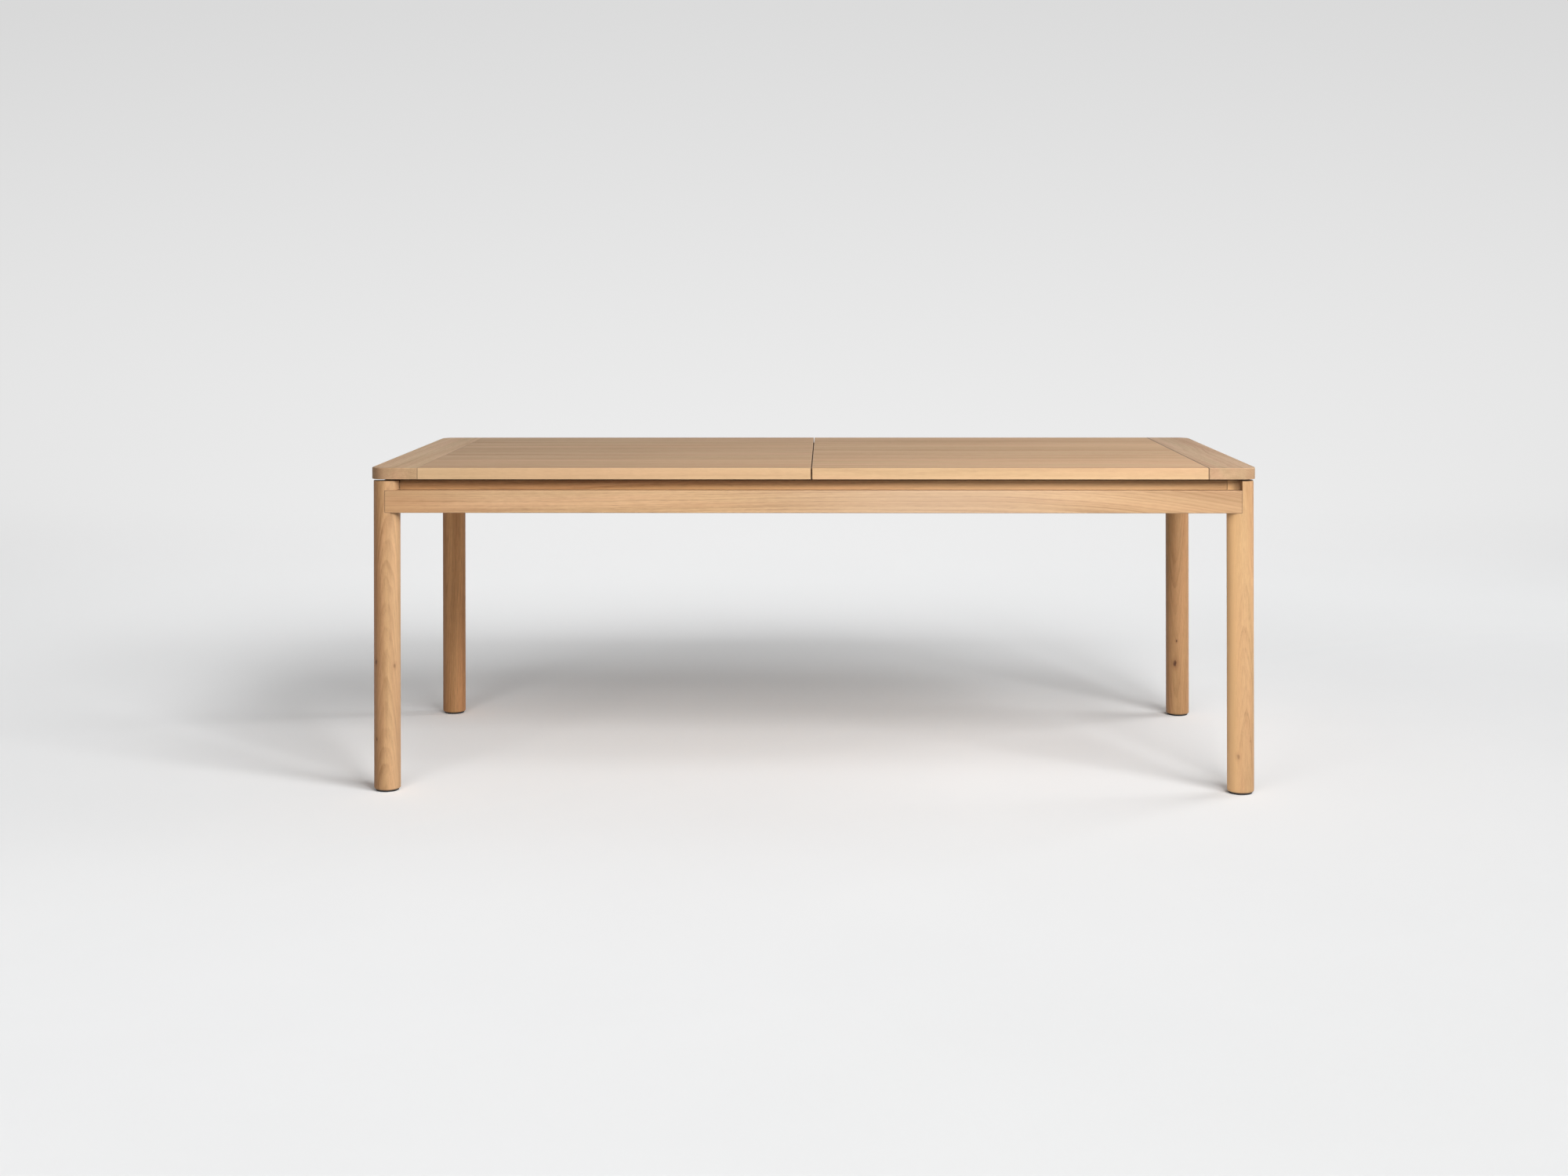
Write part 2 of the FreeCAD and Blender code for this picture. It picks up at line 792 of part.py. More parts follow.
def outer_side_places(places):
    return [point(-place.x, 2.0 * pinion_reach - place.y, place.z) for place in places]


def pinion_post():
    """The rear pinion's post: a stud in the cross rail, a flange, a shoulder and the pinion's shaft."""
    waist = pinion_shaft_radius - clip_groove_depth
    flange_top = bearer_top + post_flange_thickness
    clip_top = clip_bottom + clip_thickness
    tip = clip_top + post_tip
    profile = [(0, bearer_top - post_stud_length), (post_stud_radius, bearer_top - post_stud_length),
               (post_stud_radius, bearer_top), (post_flange_radius, bearer_top), (post_flange_radius, flange_top),
               (post_radius, flange_top), (post_radius, post_shoulder), (pinion_shaft_radius, post_shoulder),
               (pinion_shaft_radius, clip_bottom), (waist, clip_bottom), (waist, clip_top),
               (pinion_shaft_radius, clip_top), (pinion_shaft_radius, tip), (0, tip)]
    return moved(turned_solid(profile), 0, pinion_reach)


def pinion_clip():
    """The spring clip that keeps the rear pinion on its post."""
    clip_top = clip_bottom + clip_thickness
    inner = pinion_shaft_radius - clip_groove_depth + hole_clearance
    ring = upright(clip_radius, 0, 0, clip_bottom, clip_top)
    ring = ring.cut(upright(inner, 0, 0, clip_bottom - overshoot, clip_top + overshoot))
    mouth = box(0, clip_radius + overshoot, -clip_mouth / 2.0, clip_mouth / 2.0, clip_bottom - overshoot,
                clip_top + overshoot)
    return moved(ring.cut(mouth), 0, pinion_reach)


# Locks
def lock_plate(x, pin_x):
    """A rear plate under the top, at x, with a headed pin at pin_x."""
    half = lock_plate_length / 2.0
    wide = lock_plate_width / 2.0
    plate = box(x - half, x + half, lock_reach - wide, lock_reach + wide, lock_plate_bottom, underside)
    plate = round_edges(plate, lock_plate_round, lambda b: b.XLength + b.YLength < hole_clearance)
    pin = upright(lock_pin_radius, pin_x, lock_reach, pin_head_top, lock_plate_bottom)
    head = upright(lock_pin_head_radius, pin_x, lock_reach, pin_head_bottom, pin_head_top)
    return plate.fuse([pin, head]).cut(lock_screw_holes(x))


def lock_screw_places(x):
    return [point(x, lock_reach + shift, lock_plate_bottom) for shift in (-lock_screw_spread, lock_screw_spread)]


def lock_screw_holes(x):
    hole = screw_hole(lock_screw_length, lock_screw_radius)
    return [aimed(hole, place, z_axis) for place in lock_screw_places(x)]


def lock_screws(x):
    screw = wood_screw(lock_screw_length, lock_screw_radius)
    return [aimed(screw, place, z_axis) for place in lock_screw_places(x)]


def lock_lever():
    """The rear lever, unlocked: its hook points outwards and swings over to the keeper's pin."""
    half = lever_width / 2.0
    arm = box(0, lever_reach, -half, half, lever_bottom, lever_top)
    arm = round_edges(arm, lever_round, lambda b: b.XMin > lever_reach - overshoot and b.YLength < hole_clearance)
    hub = upright(half, 0, 0, lever_bottom, lever_top)
    knob = upright(lever_knob_radius, lever_knob_radius_from_pivot, 0, knob_bottom, lever_bottom)
    knob = round_edges(knob, lever_knob_round, lambda b: b.ZMax < knob_bottom + overshoot)
    gap = lock_pin_radius + slide_clearance
    base = point(0, 0, lever_bottom - overshoot)
    height = lever_thickness + 2.0 * overshoot
    sweep = Part.makeCylinder(hook_radius + gap, height, base, z_axis, lever_slot_angle)
    sweep = sweep.cut(Part.makeCylinder(hook_radius - gap, height, base, z_axis))
    slot_end = Part.makeCylinder(gap, height, point(hook_radius, 0, lever_bottom - overshoot), z_axis)
    bore = Part.makeCylinder(lock_pin_radius + pinion_running_clearance, height, base, z_axis)
    lever = arm.fuse(hub).removeSplitter().cut([turned(sweep, -lever_slot_angle), slot_end, bore])
    lever = lever.fuse(knob)
    return moved(turned(lever, lever_rest_angle), -lock_pivot_offset, lock_reach)


# Assembly of the frame
corners = {
    "front_left": (-leg_x, -leg_y),
    "front_right": (leg_x, -leg_y),
    "rear_right": (leg_x, leg_y),
    "rear_left": (-leg_x, leg_y),
}
rail_spans = {
    "front_rail": ("front_left", 2.0 * leg_x),
    "right_rail": ("front_right", 2.0 * leg_y),
    "rear_rail": ("rear_right", 2.0 * leg_x),
    "left_rail": ("rear_left", 2.0 * leg_y),
}


def at_corner(shape, corner):
    """A copy of a shape that was made round the origin for the front left corner."""
    quarter_turns = list(corners).index(corner)
    x, y = corners[corner]
    return moved(turned(shape, 90 * quarter_turns), x, y)


def build_frame():
    frame = {}
    leg = leg_blank()
    foot = glide()
    bolts, washers, nuts = leg_bolt_set()
    corner_screws = [aimed(common_screw, place, way) for place, way in corner_screw_places()]
    corner_holes = [aimed(sunk_hole, place, way) for place, way in corner_screw_places()]
    all_corner_holes = [at_corner(hole, corner) for hole in corner_holes for corner in corners]
    all_corner_screws = [at_corner(screw, corner) for screw in corner_screws for corner in corners]
    block = corner_block().cut(corner_holes)
    bearers = {
        "leaf_bearer_left": bearer(-bearer_x),
        "leaf_bearer_right": bearer(bearer_x),
        "cross_rail": bearer(0),
    }
    guide_places = guide_screw_places()
    left_place = stop_screw_place()
    stop_places = [left_place, point(-left_place.x, left_place.y, left_place.z)]
    slide_holes = front_and_rear(holes_at(guide_places + stop_places, y_axis))
    slide_screws = front_and_rear(screws_at(guide_places + stop_places, y_axis))
    left_holes = holes_at(end_screw_places(), x_axis * -1)
    left_screws = screws_at(end_screw_places(), x_axis * -1)
    end_holes = left_holes + [mirror_right(hole) for hole in left_holes]
    end_screws = left_screws + [mirror_right(screw) for screw in left_screws]
    for corner in corners:
        frame["leg_" + corner] = at_corner(leg, corner)
    frame["glides"] = group([at_corner(foot, corner) for corner in corners])
    for name, (corner, span) in rail_spans.items():
        frame[name] = at_corner(rail(span), corner).cut(slide_holes + end_holes + list(bearers.values()))
    frame["corner_blocks"] = group([at_corner(block, corner) for corner in corners])
    frame["leg_bolts"] = group([at_corner(bolt, corner) for bolt in bolts for corner in corners])
    frame["leg_bolt_washers"] = group([at_corner(washer, corner) for washer in washers for corner in corners])
    frame["leg_bolt_nuts"] = group([at_corner(nut, corner) for nut in nuts for corner in corners])
    frame["frame_screws"] = group(slide_screws + end_screws + all_corner_screws)
    frame["slide_guide_rear"] = guide().cut(slide_holes + all_corner_holes)
    frame["slide_guide_front"] = mirror_front(guide()).cut(slide_holes + all_corner_holes)
    frame["inner_end_rail_left"] = inner_end_rail().cut(end_holes + all_corner_holes)
    frame["inner_end_rail_right"] = mirror_right(inner_end_rail()).cut(end_holes + all_corner_holes)
    left_stop = stop_block().cut(holes_at(stop_places[:1], y_axis))
    frame["travel_stops"] = group(front_and_rear([left_stop, mirror_right(left_stop)]))
    frame["stop_bumpers"] = group(front_and_rear([bumper(), mirror_right(bumper())]))
    post_holes = front_and_rear([upright(post_stud_radius + hole_clearance, 0, pinion_reach,
                                         bearer_top - post_stud_length, bearer_top + overshoot)])
    bearers["cross_rail"] = bearers["cross_rail"].cut(post_holes)
    frame.update(bearers)
    frame["pinion_posts"] = group(front_and_rear([pinion_post()]))
    frame["pinion_clips"] = group(front_and_rear([pinion_clip()]))
    pads = [bearer_pad(x) for x in (-bearer_x, 0, bearer_x)]
    frame["bearer_pads"] = group(front_and_rear(pads))
    return frame


def build_leaf():
    """The leaf folded in two, with the hinges between its undersides."""
    leaf = {}
    plates, pins, screws, lower_holes, upper_holes = [], [], [], [], []
    screw = wood_screw(hinge_screw_length, hinge_screw_radius)
    hole = screw_hole(hinge_screw_length, hinge_screw_radius)
    for x in (-hinge_spread, 0, hinge_spread):
        outer, inner = hinge_knuckles(x)
        lower_places, upper_places = hinge_screw_places(x)
        screws += [aimed(screw, place, z_axis * -1) for place in lower_places]
        screws += [aimed(screw, place, z_axis) for place in upper_places]
        down = [aimed(hole, place, z_axis * -1) for place in lower_places]
        up = [aimed(hole, place, z_axis) for place in upper_places]
        lower_holes += down
        upper_holes += up
        plates.append(hinge_leaf(x, lower_leaf_top, hinge_height, outer).cut(down))
        plates.append(hinge_leaf(x, hinge_height, upper_leaf_bottom, inner).cut(up))
        pins.append(rod(hinge_pin_radius, point(x - hinge_length / 2.0, hinge_axis_y(), hinge_height), hinge_length,
                        x_axis))
    leaf["leaf_panel_lower"] = leaf_panel(lower_leaf_bottom, lower_leaf_top).cut(lower_holes)
    leaf["leaf_panel_upper"] = leaf_panel(upper_leaf_bottom, upper_leaf_top).cut(upper_holes)
    leaf["leaf_hinge_plates"] = group(plates)
    leaf["leaf_hinge_pins"] = group(pins)
    leaf["leaf_hinge_screws"] = group(screws)
    leaf["leaf_seam_pins"] = group(leaf_pins())
    return leaf


def build_top():
    """Both halves of the top with what is fixed under them."""
    top = {}
    slab = left_slab()
    inner_part = box(-end_joint_x, 0, -top_width, top_width, 0, 2.0 * table_height)
    panel = slab.common(inner_part).fuse(tongue()).cut([peg_slot(place) for place in peg_places()])
    end_board = slab.cut(inner_part).cut([tongue(tongue_clearance)] + [peg_hole(place) for place in peg_places()])
    pegs = [peg(place) for place in peg_places()]
    bar = rack()
    battens = [batten(-batten_inner_x), batten(-batten_outer_x)]
    shared_places = batten_screw_places(-batten_inner_x) + batten_screw_places(-batten_outer_x)
    pin_reaches = [-seam_pin_outer_reach, -seam_pin_inner_reach, seam_pin_inner_reach, seam_pin_outer_reach]
    halves = {
        "left": (as_built, rack_screw_places(), bar),
        "right": (mirror_right, outer_side_places(rack_screw_places()), outer_side(bar)),
    }
    for side, (placed, rack_places, rear_rack) in halves.items():
        slide_holes = [placed(hole) for hole in holes_at(runner_screw_places(), z_axis)]
        slide_screws = [placed(screw) for screw in screws_at(runner_screw_places(), z_axis)]
        rack_holes = holes_at(rack_places, z_axis)
        batten_holes = [placed(hole) for hole in holes_at(shared_places, z_axis)]
        batten_screws = [placed(screw) for screw in screws_at(shared_places, z_axis)]
        lock_holes = [placed(hole) for hole in lock_screw_holes(-lock_pivot_offset)]
        top["top_panel_" + side] = placed(panel).cut(front_and_rear(slide_holes + rack_holes + lock_holes)
                                                     + batten_holes)
        top["end_board_" + side] = placed(end_board)
        top["end_board_pegs_" + side] = group([placed(piece) for piece in pegs])
        rear_runner = placed(runner()).cut(slide_holes)
        top["runner_" + side + "_rear"] = rear_runner
        top["runner_" + side + "_front"] = mirror_front(rear_runner)
        top["battens_" + side] = group([placed(piece).cut(batten_holes) for piece in battens])
        drilled_rack = rear_rack.cut(rack_holes)
        top["rack_" + side + "_rear"] = drilled_rack
        top["rack_" + side + "_front"] = mirror_front(drilled_rack)
        rear_screws = slide_screws + screws_at(rack_places, z_axis)
        top["top_screws_" + side] = group(front_and_rear(rear_screws) + batten_screws)
        plate_screws = [placed(screw) for screw in lock_screws(-lock_pivot_offset)]
        top["lock_screws_" + side] = group(front_and_rear(plate_screws))
    pin_holes = [rod(seam_pin_radius + slide_clearance, point(0, y, pin_height),
                     seam_pin_length + seam_pin_hole_spare + seam_x, x_axis * -1) for y in pin_reaches]
    pin_seats = [rod(seam_pin_radius + hole_clearance, point(0, y, pin_height), seam_x + seam_pin_embed, x_axis)
                 for y in pin_reaches]
    top["top_panel_left"] = top["top_panel_left"].cut(pin_holes)
    top["top_panel_right"] = top["top_panel_right"].cut(pin_seats)
    top["seam_pins"] = group([aimed(seam_pin(), point(seam_x, y, pin_height), x_axis * -1) for y in pin_reaches])
    top["lock_plates"] = group(front_and_rear([lock_plate(-lock_pivot_offset, -lock_pivot_offset)]))
    top["lock_keepers"] = group(front_and_rear([lock_plate(lock_pivot_offset, lock_keeper_offset)]))
    return top


def build_moving():
    """The pinions and the lock levers, which turn by themselves."""
    wheel = pinion()
    lever = lock_lever()
    return {
        "pinion_rear": wheel,
        "pinion_front": mirror_front(wheel),
        "lock_lever_rear": lever,
        "lock_lever_front": mirror_front(lever),
    }


def main():
    os.makedirs("parts", exist_ok=True)
    pieces = {**build_frame(), **build_leaf(), **build_top(), **build_moving()}
    for name, shape in pieces.items():
        shape.exportStep("parts/" + name + ".step")
        state = "valid" if shape.isValid() else "INVALID"
        print(name, len(shape.Solids), "solids", round(shape.Volume), "mm3", state)
    print(len(pieces), "nodes")


main()
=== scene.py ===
import math

import bmesh
import bpy
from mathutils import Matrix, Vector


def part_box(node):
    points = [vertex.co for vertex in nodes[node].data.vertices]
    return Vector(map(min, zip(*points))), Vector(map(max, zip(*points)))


# Looks of an extending dining table in oak. Metres; +X runs along the table, the front faces -Y.
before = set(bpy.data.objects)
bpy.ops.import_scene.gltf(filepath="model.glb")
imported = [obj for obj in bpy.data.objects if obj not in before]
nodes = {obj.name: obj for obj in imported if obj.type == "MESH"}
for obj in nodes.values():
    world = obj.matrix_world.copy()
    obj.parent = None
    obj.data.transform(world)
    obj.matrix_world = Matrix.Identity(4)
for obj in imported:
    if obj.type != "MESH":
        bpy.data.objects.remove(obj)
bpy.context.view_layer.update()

# Camera, as fitted to the photograph: pixels of its frame, millimetres of the sensor, metres and radians
image_width = 2000.0
focal_pixels = 2618.2
horizon_above_middle = 391.4
sensor_width = 36.0
camera_place = (0.0378, -5.0741, 1.1560)
camera_turn = 0.0214
camera_roll = -0.0018

# Light: soft boxes at the front and the right, a wide one at the front left, and a dim even world.
# Each box has a place, a size and a power in watts.
soft_boxes = {
    "box_front": ((1.3, -3.7, 2.8), (1.4, 1.6), 92.0),
    "box_right": ((2.8, -2.8, 2.4), (1.4, 1.4), 77.0),
    "box_high": ((1.5, -2.0, 3.6), (1.4, 1.4), 33.0),
    "box_left": ((-1.6, -4.0, 2.6), (2.0, 2.0), 40.0),
    "box_rear_right": ((3.4, 0.8, 2.0), (1.6, 1.6), 41.0),
}
soft_box_target = (0.0, 0.0, 0.6)
world_light = 0.14
world_seen = 0.80

# Floor that runs up into a backdrop far behind the table
floor_front = -12.0
floor_side = 14.0
cove_start = 5.0
cove_radius = 3.0
cove_steps = 24
wall_top = 9.0

# Brightness of the floor for the light that it gives back, and as it is seen where nothing shades it:
# from near to far, less to the sides, and up the backdrop
floor_albedo = 0.62
floor_seen_albedo_most = 1.5
floor_seen_near = 0.908
floor_seen_far = 0.838
floor_near_y = -2.0
floor_far_y = 4.0
side_fall_near = 0.012
side_fall_far = 0.0008
side_fall_most = 0.12
backdrop_from_y = 2.5
backdrop_to_y = 6.0
backdrop_low = 0.848
backdrop_high = 0.715
backdrop_high_z = 2.9
floor_tint = (0.995, 1.0, 1.005)
floor_mottle_repeats = (1.7, 1.7, 1.7)
floor_mottle_range = (0.3, 0.7)
floor_mottle_darkest = 0.99
white = (1.0, 1.0, 1.0)

# Colours of the woods, linear: light wood, and the dark wood of rings and streaks
top_light = (0.575, 0.364, 0.200)
top_dark = (0.375, 0.215, 0.106)
left_end_light = (0.670, 0.440, 0.255)
left_end_dark = (0.425, 0.253, 0.135)
right_end_light = (0.485, 0.318, 0.188)
right_end_dark = (0.310, 0.186, 0.101)
leg_light = (0.660, 0.405, 0.205)
leg_dark = (0.385, 0.205, 0.090)
rail_light = (0.655, 0.416, 0.234)
rail_dark = (0.372, 0.206, 0.102)
beech_light = (0.560, 0.360, 0.225)
beech_dark = (0.430, 0.255, 0.150)

# Tones of single places on the wood
pore_tone = (0.185, 0.105, 0.055)
# Painted light on the lit sides of the legs, and painted shade on their shaded sides
painted_light_pale = (0.85, 0.51, 0.24)
painted_light_side = (0.86, 0.60, 0.36)
painted_shade_side = (0.325, 0.130, 0.050)
joint_tone = (0.10, 0.052, 0.024)
# Painted shade on the top's rounded front corners
corner_shade_tone = (0.22, 0.125, 0.065)
# Painted light for the upright faces of the top
lit_side_tone = (0.92, 0.66, 0.40)
# Edges lighter, partly as wear and partly as a painted highlight
worn_lit_edge_tone = (0.74, 0.53, 0.34)
end_grain_tone = (0.20, 0.11, 0.06)
# Painted shade in crevices and corners
crevice_shade_tone = (0.070, 0.030, 0.011)
knot_rim_tone = (0.33, 0.155, 0.07)
knot_heart_tone = (0.085, 0.033, 0.02)
rail_pale_tone = (0.550, 0.394, 0.275)
rail_right_tone = (0.405, 0.245, 0.125)
rail_left_tone = (0.500, 0.270, 0.120)
# Painted shade along the front rail's upper edge
rail_upper_shade_tone = (0.200, 0.110, 0.060)
# Painted light on the band over the front rail, most to the right
guide_right_light_tone = (0.900, 0.620, 0.350)
cool_tint = (0.985, 1.015, 0.99)
warm_tint = (1.02, 0.975, 0.98)

# Patterns of the wood: repeats in a metre, along the grain and across it
bend_repeats = (1.1, 8.0, 8.0)
ripple_repeats = (9.0, 70.0, 70.0)
fade_repeats = (5.0, 30.0, 30.0)
streak_repeats = (0.55, 42.0, 42.0)
cloud_repeats = (1.7, 7.0, 7.0)
warmth_repeats = (1.3, 26.0, 26.0)
fibre_repeats = (16.0, 900.0, 900.0)
dash_repeats = (40.0, 400.0, 400.0)
pore_repeats = (42.0, 1500.0, 1500.0)
fleck_repeats = (34.0, 300.0, 110.0)
pace_repeats = 38.0

# Sizes of the bends in the grain, and how many rings a change of pace adds
bend_size = 0.020
ripple_size = 0.0022
pace_rings = 3.6

# Where a pattern starts to count and where it counts in full
ring_rise = (0.0, 0.12)
ring_fall = (0.16, 0.80)
fade_range = (0.30, 0.62)
streak_range = (0.28, 0.72)
cloud_range = (0.3, 0.7)
warmth_range = (0.32, 0.68)
pore_range = (0.56, 0.66)
fleck_range = (0.60, 0.70)

# How much each pattern counts
weakest_year = 0.25
most_faded = 0.35
late_pores = 0.25
cloud_depth = 0.16
fibre_depth = 0.40
dash_depth = 0.55
fleck_depth = 0.07
fibre_height = 0.35
ring_height = 0.3

# Boards glued side by side: the shift of each board's own wood along and across, and its tone
stave_shift_along = 17.0
stave_shift_across = 0.21
stave_darkest = 0.955
stave_tone_range = 0.09
seed_shift = 3.7

# Knots: their ragged edge, their length along a leg, and the reach and depth of rim and heart
knot_edge_repeats = (220.0, 220.0, 120.0)
knot_edge_size = 0.8
knot_squeeze = (1.0, 1.0, 0.6)
knot_rim_range = (0.6, 2.4)
knot_rim_depth = 0.55
knot_heart_range = (0.3, 1.0)
knot_heart_depth = 0.90

# Edges and crevices: painted shade in a crevice or corner, which looks upwards as well, where the light
# comes from
edge_radius = 0.003
edge_range = (0.90, 0.995)
crevice_lift = 0.9
crevice_near = 0.006
crevice_near_range = (0.25, 0.75)
crevice_wide = 0.028
crevice_wide_range = (0.30, 0.85)
crevice_wide_depth = 0.60

# Which way a face looks, as the share of its normal along an axis
flat_range = (0.4, 0.7)
facing_x_range = (0.5, 0.8)
end_grain_range = (0.55, 0.95)

# Surface of the wood
worn_lit_edge_depth = 0.18
edge_polish = 0.06
wood_rough_range = 0.16
wood_bump_strength = 0.22
wood_bump_size = 0.0003

# Surface of the other materials
mottle_broad_repeats = (9.0, 9.0, 9.0)
mottle_fine_share = 0.6
mottle_range = (0.3, 0.7)
mottle_edge_depth = 0.25
mottle_edge_gain = 1.35
mottle_edge_rise = 0.02
mottle_crevice_shade_depth = 0.5
mottle_crevice_shade_gain = 0.35
mottle_rough_range = 0.25
mottle_rough_drop = 0.12


# Node graphs
class Graph:
    """Adds nodes to a tree and links them, one short call per node."""

    def __init__(self, tree):
        self.tree = tree
        tree.nodes.clear()

    def add(self, kind, inputs=None, **settings):
        node = self.tree.nodes.new("ShaderNode" + kind)
        for name, value in settings.items():
            setattr(node, name, value)
        for key, value in (inputs or {}).items():
            self.feed(node.inputs[key], value)
        return node

    def feed(self, socket, value):
        if isinstance(value, bpy.types.NodeSocket):
            self.tree.links.new(value, socket)
        elif socket.type == "RGBA":
            socket.default_value = (*value, 1.0)
        else:
            socket.default_value = value

    def math(self, operation, a, b=0.0, clamp=False):
        return self.add("Math", {0: a, 1: b}, operation=operation, use_clamp=clamp).outputs[0]

    def plus(self, a, b):
        return self.math("ADD", a, b)

    def minus(self, a, b):
        return self.math("SUBTRACT", a, b)

    def times(self, a, b):
        return self.math("MULTIPLY", a, b)

    def vector(self, operation, a, b=(0.0, 0.0, 0.0)):
        node = self.add("VectorMath", {0: a, 1: b}, operation=operation)
        return node.outputs["Value" if operation in ("DOT_PRODUCT", "LENGTH") else "Vector"]

    def place(self):
        return self.add("TexCoord").outputs["Object"]

    def normal(self):
        return self.add("NewGeometry").outputs["Normal"]

    def noise_node(self, place, repeats, detail, rough):
        scaled = self.vector("MULTIPLY", place, repeats)
        settings = {"Vector": scaled, "Scale": 1.0, "Detail": detail, "Roughness": rough}
        return self.add("TexNoise", settings)

    def noise(self, place, repeats, detail=2.0, rough=0.5):
        return self.noise_node(place, repeats, detail, rough).outputs[0]

    def wobble(self, place, repeats, size):
        """A noise vector about zero, of a size along each axis."""
        colour = self.noise_node(place, repeats, detail=2.0, rough=0.5).outputs["Color"]
        return self.vector("MULTIPLY", self.vector("SUBTRACT", colour, (0.5, 0.5, 0.5)), size)

    def step(self, value, low, high, start=0.0, end=1.0):
        settings = {"Value": value, 1: low, 2: high, 3: start, 4: end}
        return self.add("MapRange", settings, interpolation_type="SMOOTHSTEP").outputs[0]

    def mix(self, factor, a, b, blend="MIX"):
        node = self.add("Mix", data_type="RGBA", blend_type=blend)
        self.feed(node.inputs[0], factor)
        self.feed(node.inputs[6], a)
        self.feed(node.inputs[7], b)
        return node.outputs[2]

    def split(self, place):
        return self.add("SeparateXYZ", {0: place}).outputs

    def join(self, x, y, z):
        return self.add("CombineXYZ", {0: x, 1: y, 2: z}).outputs[0]


def new_group(name, inputs, outputs):
    """A node group with the named sockets: its tree, its graph, what goes in and what comes out."""
    tree = bpy.data.node_groups.new(name, "ShaderNodeTree")
    graph = Graph(tree)
    for socket, kind in inputs:
        tree.interface.new_socket(socket, in_out="INPUT", socket_type="NodeSocket" + kind)
    for socket, kind in outputs:
        tree.interface.new_socket(socket, in_out="OUTPUT", socket_type="NodeSocket" + kind)
    start = tree.nodes.new("NodeGroupInput")
    end = tree.nodes.new("NodeGroupOutput")
    return tree, graph, start.outputs, end.inputs


def new_material(name):
    material = bpy.data.materials.new(name)
    material.use_nodes = True
    graph = Graph(material.node_tree)
    shader = graph.add("BsdfPrincipled")
    graph.add("OutputMaterial", {"Surface": shader.outputs[0]})
    return material, graph, shader


# Solid wood
def bent_grain(g, grain, wave):
    """The grain space with slow bends, as strong as the wave says, and small ripples."""
    reach = g.times(wave, bend_size)
    bend = g.wobble(grain, bend_repeats, g.join(0.0, reach, reach))
    ripple = g.wobble(grain, ripple_repeats, (0.0, ripple_size, ripple_size))
    return g.vector("ADD", g.vector("ADD", grain, bend), ripple)


def early_wood(g, grain, bent, ring_width):
    """The dark early wood of each ring: it starts sharply, fades, and differs from year to year."""
    radius = g.vector("LENGTH", g.vector("MULTIPLY", bent, (0.0, 1.0, 1.0)))
    settings = {"W": g.times(radius, pace_repeats), "Scale": 1.0, "Detail": 1.0}
    pace = g.add("TexNoise", settings, noise_dimensions="1D").outputs[0]
    phase = g.plus(g.math("DIVIDE", radius, ring_width), g.times(pace, pace_rings))
    ring = g.math("FRACT", phase)
    shape = g.times(g.step(ring, *ring_rise), g.step(ring, *ring_fall, 1.0, 0.0))
    number = g.math("FLOOR", phase)
    year = g.add("TexWhiteNoise", {"W": number}, noise_dimensions="1D").outputs["Value"]
    strength = g.plus(g.times(year, 1.0 - weakest_year), weakest_year)
    faded = g.step(g.noise(grain, fade_repeats), *fade_range, most_faded, 1.0)
    return g.times(shape, g.times(strength, faded))


def solid_wood_group():
    """Wood as a solid: rings round a pith along X of the grain space, with pores, streaks and flecks."""
    inputs = [("Grain", "Vector"), ("Light", "Color"), ("Dark", "Color")]
    inputs += [(name + " depth", "Float") for name in ("Ring", "Streak", "Pore")]
    inputs += [("Ring width", "Float"), ("Wave", "Float")]
    outputs = [("Color", "Color"), ("Height", "Float"), ("Tone", "Float")]
    tree, g, given, result = new_group("solid_wood", inputs, outputs)
    grain = given["Grain"]
    bent = bent_grain(g, grain, given["Wave"])
    early = early_wood(g, grain, bent, given["Ring width"])
    streak = g.step(g.noise(bent, streak_repeats, detail=3.0, rough=0.6), *streak_range)
    cloud = g.step(g.noise(grain, cloud_repeats), *cloud_range)
    fibre = g.noise(grain, fibre_repeats)
    dash = g.noise(bent, dash_repeats)
    fleck = g.step(g.noise(grain, fleck_repeats, detail=1.0), *fleck_range)
    pore = g.step(g.noise(grain, pore_repeats, detail=1.0), *pore_range)
    pore = g.times(pore, g.plus(g.times(early, 1.0 - late_pores), late_pores))
    tone = g.times(streak, given["Streak depth"])
    tone = g.plus(tone, g.times(early, given["Ring depth"]))
    tone = g.plus(tone, g.times(cloud, cloud_depth))
    tone = g.plus(tone, g.times(g.minus(fibre, 0.5), fibre_depth))
    tone = g.plus(tone, g.times(g.minus(dash, 0.5), dash_depth))
    tone = g.math("SUBTRACT", tone, g.times(fleck, fleck_depth), clamp=True)
    colour = g.mix(tone, given["Light"], given["Dark"])
    warmth = g.step(g.noise(bent, warmth_repeats), *warmth_range)
    colour = g.mix(1.0, colour, g.mix(warmth, cool_tint, warm_tint), "MULTIPLY")
    colour = g.mix(g.times(pore, given["Pore depth"]), colour, pore_tone)
    height = g.minus(g.minus(g.times(fibre, fibre_height), pore), g.times(early, ring_height))
    g.feed(result["Color"], colour)
    g.feed(result["Height"], height)
    g.feed(result["Tone"], tone)
    return tree


solid_wood = solid_wood_group()
grain_orders = {"x": (0, 1, 2), "y": (1, 0, 2), "z": (2, 0, 1)}


def grain_space(g, grain, pith, lean, sweep):
    """Coordinates along the grain and across it from the pith, which may lean away from the axis.

    A sweep is a start and a curvature: from the start on, the grain curves down.
    """
    axes = g.split(g.place())
    along, first, second = [axes[index] for index in grain_orders[grain]]
    first = g.minus(g.minus(first, pith[0]), g.times(along, lean[0]))
    second = g.minus(g.minus(second, pith[1]), g.times(along, lean[1]))
    if sweep:
        start, curvature = sweep
        beyond = g.math("MAXIMUM", g.minus(along, start), 0.0)
        second = g.plus(second, g.times(g.times(beyond, beyond), curvature))
    return along, first, second


